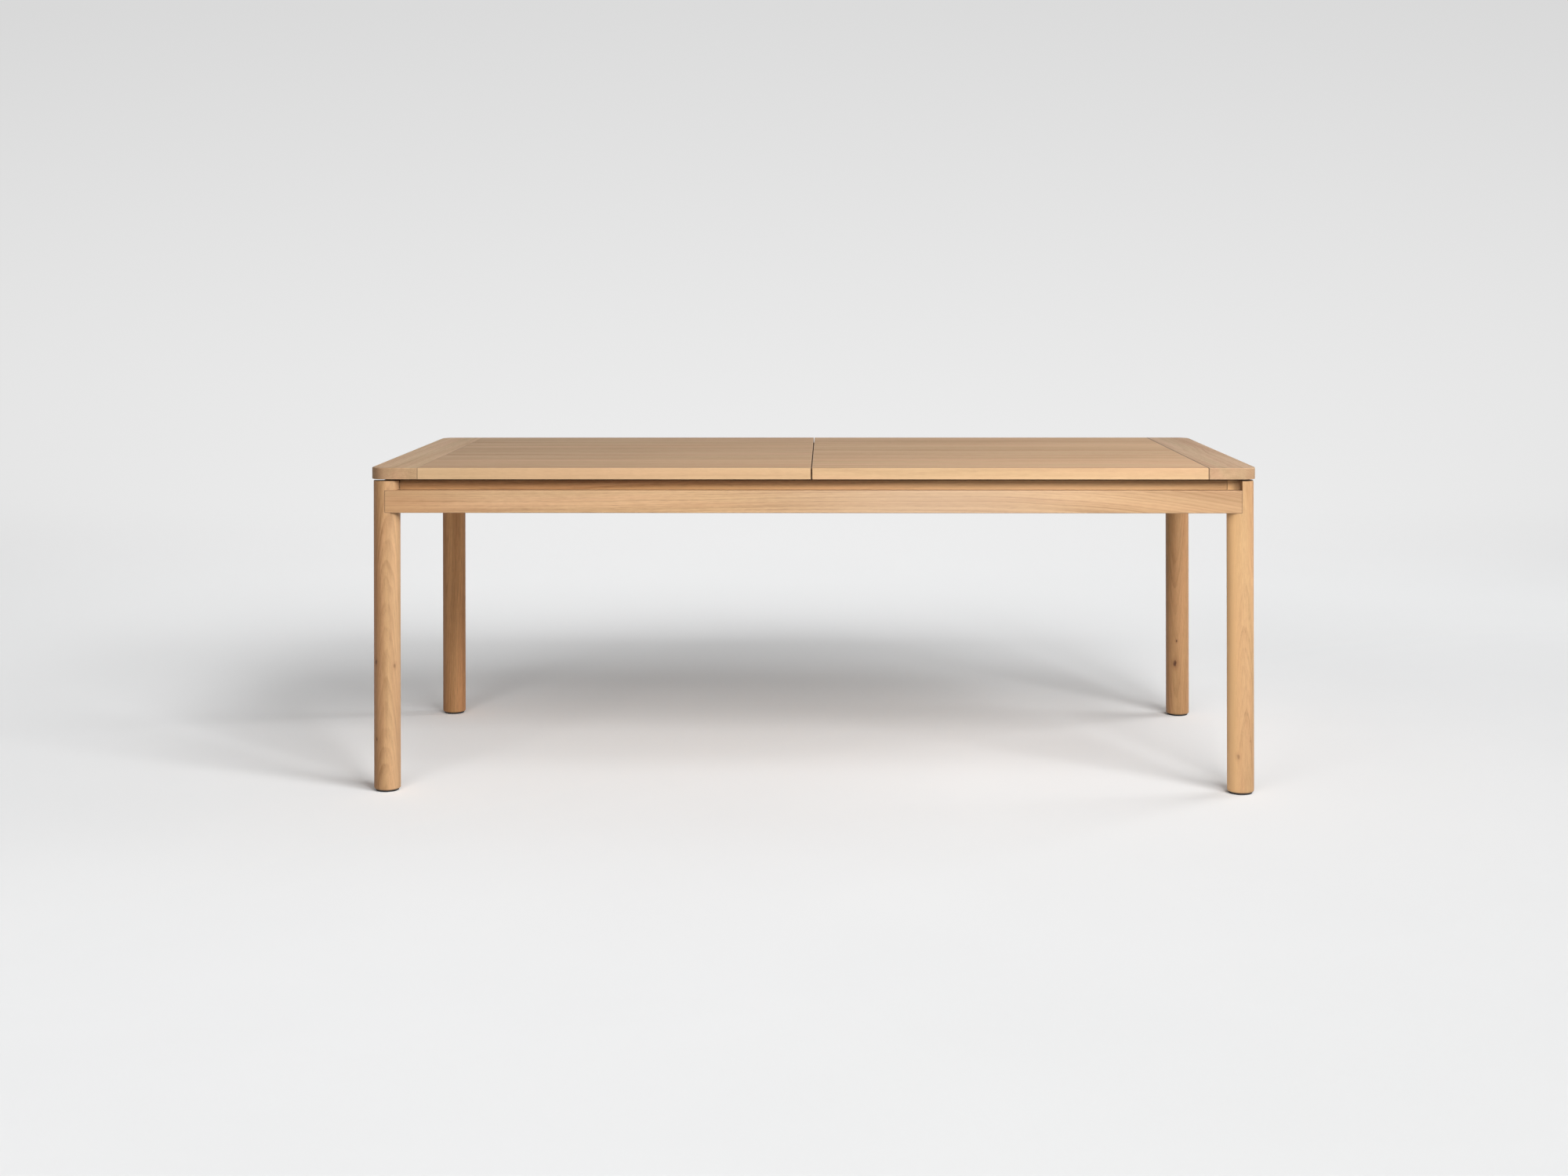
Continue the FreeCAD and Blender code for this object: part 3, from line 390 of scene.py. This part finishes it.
def staves(g, along, first, second, width):
    """Boards glued side by side: each has its own stretch of wood and its own tone."""
    count = g.math("FLOOR", g.math("DIVIDE", first, width))
    own = g.add("TexWhiteNoise", {"W": count}, noise_dimensions="1D").outputs["Value"]
    along = g.plus(along, g.times(own, stave_shift_along))
    second = g.plus(second, g.times(own, stave_shift_across))
    tone = g.plus(stave_darkest, g.times(own, stave_tone_range))
    return along, first, second, g.join(tone, tone, tone)


# Marks on a surface
def edge_and_crevice_shade(g):
    """How far a point is on an edge, worn and painted highlight, and in a crevice or corner, for painted
    shade.
    """
    surface = g.add("NewGeometry").outputs
    rounded = g.add("Bevel", {"Radius": edge_radius}, samples=4).outputs[0]
    even = g.vector("DOT_PRODUCT", rounded, surface["True Normal"])
    edge = g.step(even, *edge_range, 1.0, 0.0)
    upwards = g.vector("NORMALIZE", g.vector("ADD", surface["Normal"], (0.0, 0.0, crevice_lift)))
    near = {"Distance": crevice_near, "Normal": upwards}
    open_near = g.add("AmbientOcclusion", near, samples=6).outputs["AO"]
    wide = {"Distance": crevice_wide, "Normal": upwards}
    open_wide = g.add("AmbientOcclusion", wide, samples=6).outputs["AO"]
    gap = g.step(open_near, *crevice_near_range, 1.0, 0.0)
    corner = g.step(open_wide, *crevice_wide_range, crevice_wide_depth, 0.0)
    return edge, g.math("MAXIMUM", gap, corner)


def knot_marks(g, colour, knots):
    """Small dark knots with a soft reddish rim: each is a place, a size and a strength."""
    place = g.place()
    ragged = g.times(g.minus(g.noise(place, knot_edge_repeats), 0.5), knot_edge_size)
    for spot, size, strength in knots:
        away = g.vector("MULTIPLY", g.vector("SUBTRACT", place, spot), knot_squeeze)
        far = g.plus(g.math("DIVIDE", g.vector("LENGTH", away), size), ragged)
        rim = g.step(far, *knot_rim_range, knot_rim_depth * strength, 0.0)
        heart = g.step(far, *knot_heart_range, knot_heart_depth * strength, 0.0)
        colour = g.mix(heart, g.mix(rim, colour, knot_rim_tone), knot_heart_tone)
    return colour


def side_share(g):
    """One on upright faces, zero on flat ones."""
    flat = g.math("ABSOLUTE", g.split(g.normal())[2])
    return g.step(flat, *flat_range, 1.0, 0.0)


def joint_line(g, colour, plane, width, on_top, on_side):
    """A thin dark line where two boards meet at a plane across X, with a strength on top and on sides.

    The face that lies in the plane is left out.
    """
    away = g.math("ABSOLUTE", g.minus(g.split(g.place())[0], plane))
    line = g.step(away, width / 4.0, width / 2.0, 1.0, 0.0)
    facing = g.math("ABSOLUTE", g.split(g.normal())[0])
    line = g.times(line, g.step(facing, *facing_x_range, 1.0, 0.0))
    strength = g.plus(g.times(side_share(g), on_side - on_top), on_top)
    return g.mix(g.times(line, strength), colour, joint_tone)


def near_share(g, centre, reach, strength):
    """A strength that is whole at a centre, and gone where its reach ends, either way."""
    away = g.vector("SUBTRACT", g.place(), centre)
    square = sum(part * part for part in reach)
    share = g.vector("DOT_PRODUCT", away, [part / square for part in reach])
    return g.step(g.math("ABSOLUTE", share), 0.0, 1.0, strength, 0.0)


def tone_patch(g, colour, centre, reach, strength, tint):
    """A stretch of wood in another tone."""
    return g.mix(near_share(g, centre, reach, strength), colour, tint)


# Materials
def wood(name, grain, pith, lean=(0.0, 0.0), seed=0.0, light=rail_light, dark=rail_dark,
         ring_width=0.0045, ring_depth=0.32, streak_depth=0.46, pore_depth=0.5, wave=1.0,
         stave_width=0.0, sweep=None, figure=None, lit_side_tint=0.0, patches=(), knots=(),
         end_tone=0.78, joints=(), shade=0.80, rough=0.52, gloss=0.30):
    """A wood with its grain along an axis and its pith at a place across that axis.

    The seed picks another stretch of the same wood. A figure makes the rings stronger near a place.
    The side tint is painted light that lightens upright faces, the end tone is how light end grain is,
    and the shade is how dark the painted shade in corners is.
    """
    material, g, shader = new_material(name)
    along, first, second = grain_space(g, grain, pith, lean, sweep)
    if stave_width:
        along, first, second, stave_tone = staves(g, along, first, second, stave_width)
    if figure:
        ring_depth = g.plus(near_share(g, **figure), ring_depth)
    place = g.join(g.plus(along, seed * seed_shift), first, second)
    settings = {"Grain": place, "Light": light, "Dark": dark, "Ring width": ring_width, "Wave": wave,
                "Ring depth": ring_depth, "Streak depth": streak_depth, "Pore depth": pore_depth}
    solid = g.add("Group", settings, node_tree=solid_wood).outputs
    colour = solid["Color"]
    if stave_width:
        colour = g.mix(1.0, colour, stave_tone, "MULTIPLY")
    # Painted light: upright faces are lighter
    if lit_side_tint:
        colour = g.mix(g.times(side_share(g), lit_side_tint), colour, lit_side_tone)
    for patch in patches:
        colour = tone_patch(g, colour, **patch)
    if knots:
        colour = knot_marks(g, colour, knots)
    axis = [0.0, 0.0, 0.0]
    axis[grain_orders[grain][0]] = 1.0
    facing = g.math("ABSOLUTE", g.vector("DOT_PRODUCT", g.normal(), axis))
    cut_across = g.step(facing, *end_grain_range)
    colour = g.mix(g.times(cut_across, 1.0 - end_tone), colour, end_grain_tone)
    edge, crevice = edge_and_crevice_shade(g)
    # Edges lighter, partly as wear and partly as a painted highlight
    colour = g.mix(g.times(edge, worn_lit_edge_depth), colour, worn_lit_edge_tone)
    for joint in joints:
        colour = joint_line(g, colour, **joint)
    # Painted shade: darker in crevices and corners
    colour = g.mix(g.times(crevice, shade), colour, crevice_shade_tone)
    roughness = g.plus(g.times(solid["Tone"], wood_rough_range), rough - wood_rough_range / 2.0)
    roughness = g.minus(roughness, g.times(edge, edge_polish))
    bumps = {"Strength": wood_bump_strength, "Distance": wood_bump_size, "Height": solid["Height"]}
    g.feed(shader.inputs["Base Color"], colour)
    g.feed(shader.inputs["Roughness"], roughness)
    g.feed(shader.inputs["Normal"], g.add("Bump", bumps).outputs[0])
    shader.inputs["Specular IOR Level"].default_value = gloss
    return material


def mottled(name, light, dark, repeats, rough, bump_size, bump_strength=0.15, metallic=0.0):
    """Metal, plastic, felt or rubber: a plain material with fine variation of colour and surface, and
    painted shade in crevices.
    """
    material, g, shader = new_material(name)
    place = g.place()
    fine = g.noise(place, repeats, detail=4.0, rough=0.6)
    broad = g.noise(place, mottle_broad_repeats, detail=3.0)
    tone = g.plus(g.times(fine, mottle_fine_share), g.times(broad, 1.0 - mottle_fine_share))
    colour = g.mix(g.step(tone, *mottle_range), light, dark)
    edge, crevice = edge_and_crevice_shade(g)
    edge_tone = [min(1.0, value * mottle_edge_gain + mottle_edge_rise) for value in light]
    colour = g.mix(g.times(edge, mottle_edge_depth), colour, edge_tone)
    # Painted shade: darker in crevices and corners
    gap_shade_tone = [value * mottle_crevice_shade_gain for value in dark]
    colour = g.mix(g.times(crevice, mottle_crevice_shade_depth), colour, gap_shade_tone)
    roughness = g.plus(g.times(tone, mottle_rough_range), rough - mottle_rough_drop)
    bumps = {"Strength": bump_strength, "Distance": bump_size, "Height": fine}
    g.feed(shader.inputs["Base Color"], colour)
    g.feed(shader.inputs["Roughness"], roughness)
    g.feed(shader.inputs["Normal"], g.add("Bump", bumps).outputs[0])
    shader.inputs["Metallic"].default_value = metallic
    return material


def dress(material, *names):
    for name in names:
        slots = nodes[name].data.materials
        slots.clear()
        slots.append(material)


def tinted(colour, tint):
    return [value * share for value, share in zip(colour, tint)]


# Top. The panels are boards side by side, cut far from their pith: it is given by its Y and by its
# height over the panel's middle. The end boards' piths are given in X and Z from their lower left edge.
panel_pith = (2.6, 0.35)
left_end_pith = (0.09, -0.055)
right_end_pith = (0.03, -0.070)


def dress_top():
    left_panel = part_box("top_panel_left")
    right_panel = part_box("top_panel_right")
    left_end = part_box("end_board_left")
    right_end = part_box("end_board_right")
    left_joint = dict(plane=left_end[1].x, width=0.0021, on_top=0.55, on_side=0.55)
    right_joint = dict(plane=right_end[0].x, width=0.0042, on_top=1.0, on_side=0.60)
    seam = dict(width=0.0026, on_top=0.25, on_side=1.0)
    left_seam = dict(plane=left_panel[1].x, **seam)
    right_seam = dict(plane=right_panel[0].x, **seam)

    top_middle = (left_panel[0].z + left_panel[1].z) / 2.0
    pith = (panel_pith[0], top_middle + panel_pith[1])
    # The panels' upright faces get painted light
    panel = dict(grain="x", pith=pith, light=top_light, dark=top_dark, stave_width=0.118,
                 ring_width=0.0034, lit_side_tint=0.22, end_tone=0.5, gloss=0.18)
    dress(wood("oak_top_left", seed=1.3, joints=[left_joint, left_seam], **panel), "top_panel_left")
    dress(wood("oak_top_right", seed=4.9, joints=[right_joint, right_seam], **panel), "top_panel_right")
    dress(wood("oak_leaf", seed=8.2, **panel), "leaf_panel_lower", "leaf_panel_upper")

    # Painted shade: the end boards are darker at their rounded front corners, which turn away from the
    # light
    left_corner_shade = dict(centre=(left_end[0].x, left_end[0].y, 0.0), reach=(0.034, 0.034, 0.0),
                       strength=0.75, tint=corner_shade_tone)
    right_corner_shade = dict(centre=(right_end[1].x, right_end[0].y, 0.0), reach=(-0.026, 0.026, 0.0),
                        strength=0.30, tint=corner_shade_tone)
    left_pith = (left_end[0].x + left_end_pith[0], left_end[0].z + left_end_pith[1])
    right_pith = (right_end[0].x + right_end_pith[0], right_end[0].z + right_end_pith[1])
    left_board = wood("oak_end_left", "y", left_pith, lean=(0.035, 0.012), seed=2.2,
                      light=left_end_light, dark=left_end_dark, joints=[left_joint],
                      patches=[left_corner_shade], end_tone=0.80, gloss=0.18)
    right_board = wood("oak_end_right", "y", right_pith, lean=(-0.03, 0.010), seed=5.1,
                       light=right_end_light, dark=right_end_dark, joints=[right_joint],
                       patches=[right_corner_shade], end_tone=1.0, gloss=0.18)
    dress(left_board, "end_board_left")
    dress(right_board, "end_board_right")


# Legs. The pith is given from the leg's middle. A side is a stretch in another tone, painted light on a
# lit side and painted shade on a shaded side: how far it is to the right, its reach, its strength and its
# tone. A knot is given as its turn, height, size and strength.
legs = {
    "leg_front_left": dict(
        pith=(-0.02, 0.15), lean=(-0.01, -0.07), seed=1.0, figure=0.50, tint=(0.97, 0.93, 0.91),
        sides=[(0.030, 0.036, 0.25, painted_light_side), (-0.030, 0.029, 0.62, painted_shade_side)],
        knots=[(-44, 0.294, 0.0048, 0.8), (-40, 0.119, 0.0036, 0.7), (45, 0.286, 0.0040, 0.45)]),
    "leg_front_right": dict(
        pith=(-0.03, 0.18), lean=(-0.01, -0.05), seed=2.0, figure=0.26, tint=(0.84, 0.83, 0.83),
        sides=[(-0.030, 0.036, 0.75, painted_light_pale)],
        knots=[(-20, 0.087, 0.0045, 0.4), (35, 0.121, 0.0035, 0.3)]),
    "leg_rear_right": dict(
        pith=(0.05, 0.12), lean=(0.0, 0.05), seed=3.0, figure=0.34, tint=(0.79, 0.725, 0.66),
        sides=[],
        knots=[(-13, 0.200, 0.0026, 0.9), (-21, 0.140, 0.0062, 1.0)]),
    "leg_rear_left": dict(
        pith=(-0.040, -0.052), lean=(0.022, 0.015), seed=4.0, figure=0.40, tint=(1.14, 0.955, 0.84),
        sides=[(-0.030, 0.028, 0.60, painted_shade_side)],
        knots=[]),
}


def leg_knot(middle, radius, turn, height, size, strength):
    """A knot on a leg: its turn is in degrees to the right from the front, its height from the floor."""
    angle = math.radians(turn)
    spot = (middle.x + radius * math.sin(angle), middle.y - radius * math.cos(angle), height)
    return spot, size, strength


def dress_legs():
    for name, leg in legs.items():
        low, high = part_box(name)
        middle = (low + high) / 2.0
        radius = (high.x - low.x) / 2.0
        pith = (middle.x + leg["pith"][0], middle.y + leg["pith"][1])
        knots = [leg_knot(middle, radius, *knot) for knot in leg["knots"]]
        patches = []
        # Painted light and shade on the legs' sides
        for aside, reach, strength, tint in leg["sides"]:
            centre = (middle.x + aside, middle.y, 0.0)
            patches.append(dict(centre=centre, reach=(reach, 0.0, 0.0), strength=strength, tint=tint))
        # The leg's tint is partly its own tone and partly painted light and shade, for how light falls on
        # it
        light = tinted(leg_light, leg["tint"])
        dark = tinted(leg_dark, leg["tint"])
        dress(wood("oak_" + name, "z", pith, leg["lean"], leg["seed"], light, dark, ring_width=0.0034,
                   ring_depth=leg["figure"], wave=1.6, patches=patches, knots=knots, shade=0.30), name)


# Rails. The pith is given from the rail's middle.
rails = {
    "front_rail": dict(grain="x", pith=(0.045, -0.075), lean=(0.012, 0.018), seed=1.6),
    "rear_rail": dict(grain="x", pith=(-0.045, -0.070), lean=(0.010, -0.014), seed=2.7),
    "left_rail": dict(grain="y", pith=(0.040, -0.065), lean=(0.015, 0.020), seed=3.8),
    "right_rail": dict(grain="y", pith=(-0.040, -0.072), lean=(0.018, -0.015), seed=4.4),
    "slide_guide_front": dict(grain="x", pith=(0.060, 0.050), lean=(0.008, 0.010), seed=5.5, gloss=0.12),
    "slide_guide_rear": dict(grain="x", pith=(-0.060, 0.050), lean=(0.008, 0.010), seed=6.6, gloss=0.12),
    "inner_end_rail_left": dict(grain="y", pith=(0.060, 0.045), lean=(0.010, 0.010), seed=7.7),
    "inner_end_rail_right": dict(grain="y", pith=(-0.060, 0.045), lean=(0.010, 0.010), seed=8.8),
}
front_rail_tint = (1.05, 1.05, 1.05)
# The band's tint is partly its warmer tone and partly painted light
front_guide_light_tint = (1.16, 1.03, 0.88)


def front_rail_marks():
    """The front rail: pale in the middle, darker at its ends, painted shade along its upper edge, its
    grain sweeping down.
    """
    low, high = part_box("front_rail")
    pale = dict(centre=(0.28, 0.0, 0.0), reach=(0.55, 0.0, 0.0), strength=0.50, tint=rail_pale_tone)
    right = dict(centre=(0.97, 0.0, 0.0), reach=(0.42, 0.0, 0.0), strength=0.60, tint=rail_right_tone)
    left = dict(centre=(-0.97, 0.0, 0.0), reach=(0.30, 0.0, 0.0), strength=0.50, tint=rail_left_tone)
    # Painted shade along the upper edge
    upper = dict(centre=(0.0, 0.0, high.z), reach=(0.0, 0.0, 0.045), strength=0.12, tint=rail_upper_shade_tone)
    return dict(
        light=tinted(rail_light, front_rail_tint),
        dark=tinted(rail_dark, front_rail_tint),
        sweep=(0.35, 0.17),
        figure=dict(centre=(0.95, 0.0, 0.0), reach=(0.65, 0.0, 0.0), strength=0.60),
        patches=[pale, right, left, upper],
        joints=[dict(plane=end.x, width=0.006, on_top=0.0, on_side=0.30) for end in (low, high)],
    )


def front_guide_marks():
    """The band above the front rail: warmer than the rails, and lighter with painted light, most to the
    right.
    """
    # Painted light, most to the right
    lighter = dict(centre=(0.50, 0.0, 0.0), reach=(0.95, 0.0, 0.0), strength=0.50, tint=guide_right_light_tone)
    return dict(
        light=tinted(rail_light, front_guide_light_tint),
        dark=tinted(rail_dark, front_guide_light_tint),
        patches=[lighter],
    )


def dress_rails():
    marks = {"front_rail": front_rail_marks(), "slide_guide_front": front_guide_marks()}
    for name, rail in rails.items():
        low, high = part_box(name)
        middle = (low + high) / 2.0
        across = middle.y if rail["grain"] == "x" else middle.x
        shift = rail["pith"]
        settings = {**rail, **marks.get(name, {}), "pith": (across + shift[0], middle.z + shift[1])}
        dress(wood("oak_" + name, ring_width=0.0058, ring_depth=0.48, **settings), name)


# Wood under the top
def dress_hidden_wood():
    beech = dict(light=beech_light, dark=beech_dark, ring_width=0.006, ring_depth=0.16, streak_depth=0.30,
                 pore_depth=0.25, rough=0.60)
    lean = (0.006, 0.008)
    runners = [name for name in nodes if name.startswith("runner_")]
    dress(wood("beech_along", "x", (0.12, 0.60), lean, seed=1.1, **beech), "travel_stops", *runners)
    dress(wood("beech_across", "y", (0.15, 0.60), lean, seed=2.1, **beech), "cross_rail",
          "battens_left", "battens_right", "leaf_bearer_left", "leaf_bearer_right")
    dress(wood("beech_block", "z", (0.9, 0.10), lean, seed=3.1, **beech), "corner_blocks")
    dress(wood("pin_wood", "x", (0.02, 0.68), seed=4.1, **beech), "seam_pins", "leaf_seam_pins")
    dress(wood("peg_wood", "z", (0.02, 0.02), seed=5.1, **beech),
          "end_board_pegs_left", "end_board_pegs_right")


# Metal, plastic, felt and rubber
def dress_hardware():
    zinc = mottled("zinc_steel", light=(0.66, 0.67, 0.68), dark=(0.50, 0.51, 0.52),
                   repeats=(700.0, 700.0, 90.0), rough=0.36, bump_size=0.00005, metallic=1.0)
    dress(zinc, "leg_bolts", "leg_bolt_washers", "leg_bolt_nuts", "frame_screws", "top_screws_left",
          "top_screws_right", "lock_screws_left", "lock_screws_right", "pinion_posts", "pinion_clips")
    dark_steel = mottled("dark_steel", light=(0.030, 0.030, 0.031), dark=(0.017, 0.017, 0.018),
                         repeats=(1400.0, 1400.0, 1400.0), rough=0.52, bump_size=0.00012)
    dress(dark_steel, "lock_plates", "lock_keepers", "lock_lever_front", "lock_lever_rear")
    brass = mottled("hinge_brass", light=(0.62, 0.43, 0.16), dark=(0.45, 0.29, 0.10),
                    repeats=(80.0, 900.0, 900.0), rough=0.34, bump_size=0.00005, metallic=1.0)
    dress(brass, "leaf_hinge_plates", "leaf_hinge_pins", "leaf_hinge_screws")
    racks = [name for name in nodes if name.startswith("rack_")]
    gear_plastic = mottled("gear_plastic", light=(0.56, 0.53, 0.45), dark=(0.47, 0.44, 0.37),
                           repeats=(260.0, 260.0, 260.0), rough=0.48, bump_size=0.00008)
    dress(gear_plastic, "pinion_front", "pinion_rear", *racks)
    glide_plastic = mottled("glide_plastic", light=(0.022, 0.021, 0.020), dark=(0.012, 0.012, 0.012),
                            repeats=(900.0, 900.0, 900.0), rough=0.58, bump_size=0.00015)
    dress(glide_plastic, "glides")
    felt = mottled("pad_felt", light=(0.150, 0.150, 0.145), dark=(0.065, 0.065, 0.063),
                   repeats=(1600.0, 1600.0, 500.0), rough=0.95, bump_size=0.0005, bump_strength=0.6)
    dress(felt, "bearer_pads")
    rubber = mottled("bumper_rubber", light=(0.028, 0.027, 0.026), dark=(0.015, 0.015, 0.015),
                     repeats=(800.0, 800.0, 800.0), rough=0.75, bump_size=0.0002)
    dress(rubber, "stop_bumpers")


# Stage
def make_floor():
    """One sheet: a floor that curves up into a wall behind the table."""
    profile = [(floor_front, 0.0), (cove_start, 0.0)]
    for step in range(1, cove_steps + 1):
        angle = math.pi / 2.0 * step / cove_steps
        y = cove_start + cove_radius * math.sin(angle)
        z = cove_radius * (1.0 - math.cos(angle))
        profile.append((y, z))
    profile.append((cove_start + cove_radius, wall_top))
    sheet = bmesh.new()
    rows = [[sheet.verts.new((side, y, z)) for side in (-floor_side, floor_side)] for y, z in profile]
    for near, far in zip(rows, rows[1:]):
        face = sheet.faces.new((near[0], near[1], far[1], far[0]))
        face.smooth = True
    mesh = bpy.data.meshes.new("floor")
    sheet.to_mesh(mesh)
    sheet.free()
    floor = bpy.data.objects.new("floor", mesh)
    bpy.context.scene.collection.objects.link(floor)
    mesh.materials.append(floor_material())


def seen_directly(g):
    """One for what is seen, directly or in a mirror or glass, and zero for light that falls on things."""
    path = g.add("LightPath").outputs
    seen = g.math("MAXIMUM", path["Is Camera Ray"], path["Is Glossy Ray"])
    return g.math("MAXIMUM", seen, path["Is Transmission Ray"])


def open_light(g, place):
    """How bright a white floor would be at a place with nothing on it, in the light of the boxes."""
    total = world_light
    for box_place, _, watts in soft_boxes.values():
        aimed = (Vector(box_place) - Vector(soft_box_target)).normalized()
        way = g.vector("SUBTRACT", box_place, place)
        square = g.vector("DOT_PRODUCT", way, way)
        facing = g.math("MAXIMUM", g.vector("DOT_PRODUCT", way, tuple(aimed)), 0.0)
        above = g.vector("DOT_PRODUCT", way, (0.0, 0.0, 1.0))
        share = g.math("DIVIDE", g.times(facing, above), g.times(square, square))
        total = g.plus(total, g.times(share, watts / math.pi ** 2))
    return total


def floor_material():
    """A pale floor that looks evenly bright where nothing shades it, and a glowing backdrop far behind."""
    material = bpy.data.materials.new("pale_floor")
    material.use_nodes = True
    g = Graph(material.node_tree)
    place = g.place()
    across, along, up = g.split(place)
    seen = seen_directly(g)
    light = open_light(g, place)

    # The brightness that is wanted, and the albedo that gives it under the boxes' light
    side_fall = g.step(along, 0.0, cove_start + cove_radius, side_fall_near, side_fall_far)
    aside = g.math("MINIMUM", g.times(g.times(across, across), side_fall), side_fall_most)
    wanted = g.step(along, floor_near_y, floor_far_y, floor_seen_near, floor_seen_far)
    wanted = g.minus(wanted, aside)
    seen_albedo = g.math("MINIMUM", g.math("DIVIDE", wanted, light), floor_seen_albedo_most)
    albedo = g.plus(g.times(seen, g.minus(seen_albedo, floor_albedo)), floor_albedo)
    mottle = g.noise(place, floor_mottle_repeats, detail=4.0)
    grey = g.times(albedo, g.step(mottle, *floor_mottle_range, floor_mottle_darkest, 1.0))
    matt = g.add("BsdfDiffuse", {"Color": g.vector("MULTIPLY", g.join(grey, grey, grey), floor_tint)})

    # What the light can't give far from the boxes is a glow, and so is the backdrop
    missing = g.times(g.minus(wanted, g.times(seen_albedo, light)), seen)
    glow = g.add("Emission", {"Color": white, "Strength": missing})
    lit = g.add("AddShader", {0: matt.outputs[0], 1: glow.outputs[0]})
    settings = {"Value": up, 1: 0.0, 2: backdrop_high_z, 3: backdrop_low, 4: backdrop_high}
    height = g.add("MapRange", settings).outputs[0]
    wall = g.add("Emission", {"Color": white, "Strength": g.minus(height, aside)})
    far = g.times(g.step(along, backdrop_from_y, backdrop_to_y), seen)
    both = g.add("MixShader", {0: far, 1: lit.outputs[0], 2: wall.outputs[0]})
    g.add("OutputMaterial", {"Surface": both.outputs[0]})
    return material


def make_world():
    world = bpy.data.worlds.new("studio")
    bpy.context.scene.world = world
    world.use_nodes = True
    g = Graph(world.node_tree)
    strength = g.plus(g.times(seen_directly(g), world_seen - world_light), world_light)
    sky = g.add("Background", {"Color": white, "Strength": strength})
    g.add("OutputWorld", {"Surface": sky.outputs[0]})


def make_lights():
    for name, (place, size, watts) in soft_boxes.items():
        lamp = bpy.data.lights.new(name, "AREA")
        lamp.shape = "RECTANGLE"
        lamp.size, lamp.size_y = size
        lamp.energy = watts
        soft_box = bpy.data.objects.new(name, lamp)
        soft_box.visible_camera = False
        soft_box.location = place
        way = Vector(soft_box_target) - Vector(place)
        soft_box.rotation_euler = way.to_track_quat("-Z", "Y").to_euler()
        bpy.context.scene.collection.objects.link(soft_box)


def make_camera():
    data = bpy.data.cameras.new("camera")
    data.sensor_width = sensor_width
    data.lens = focal_pixels / image_width * sensor_width
    data.shift_y = -horizon_above_middle / image_width
    camera = bpy.data.objects.new("camera", data)
    camera.location = camera_place
    level = Matrix.Rotation(math.pi / 2.0, 3, "X")
    turn = Matrix.Rotation(camera_turn, 3, "Z")
    roll = Matrix.Rotation(camera_roll, 3, "Z")
    camera.rotation_euler = (turn @ level @ roll).to_euler()
    bpy.context.scene.collection.objects.link(camera)
    bpy.context.scene.camera = camera


dress_top()
dress_legs()
dress_rails()
dress_hidden_wood()
dress_hardware()
make_floor()
make_world()
make_lights()
make_camera()
bpy.context.scene.view_settings.view_transform = "Standard"
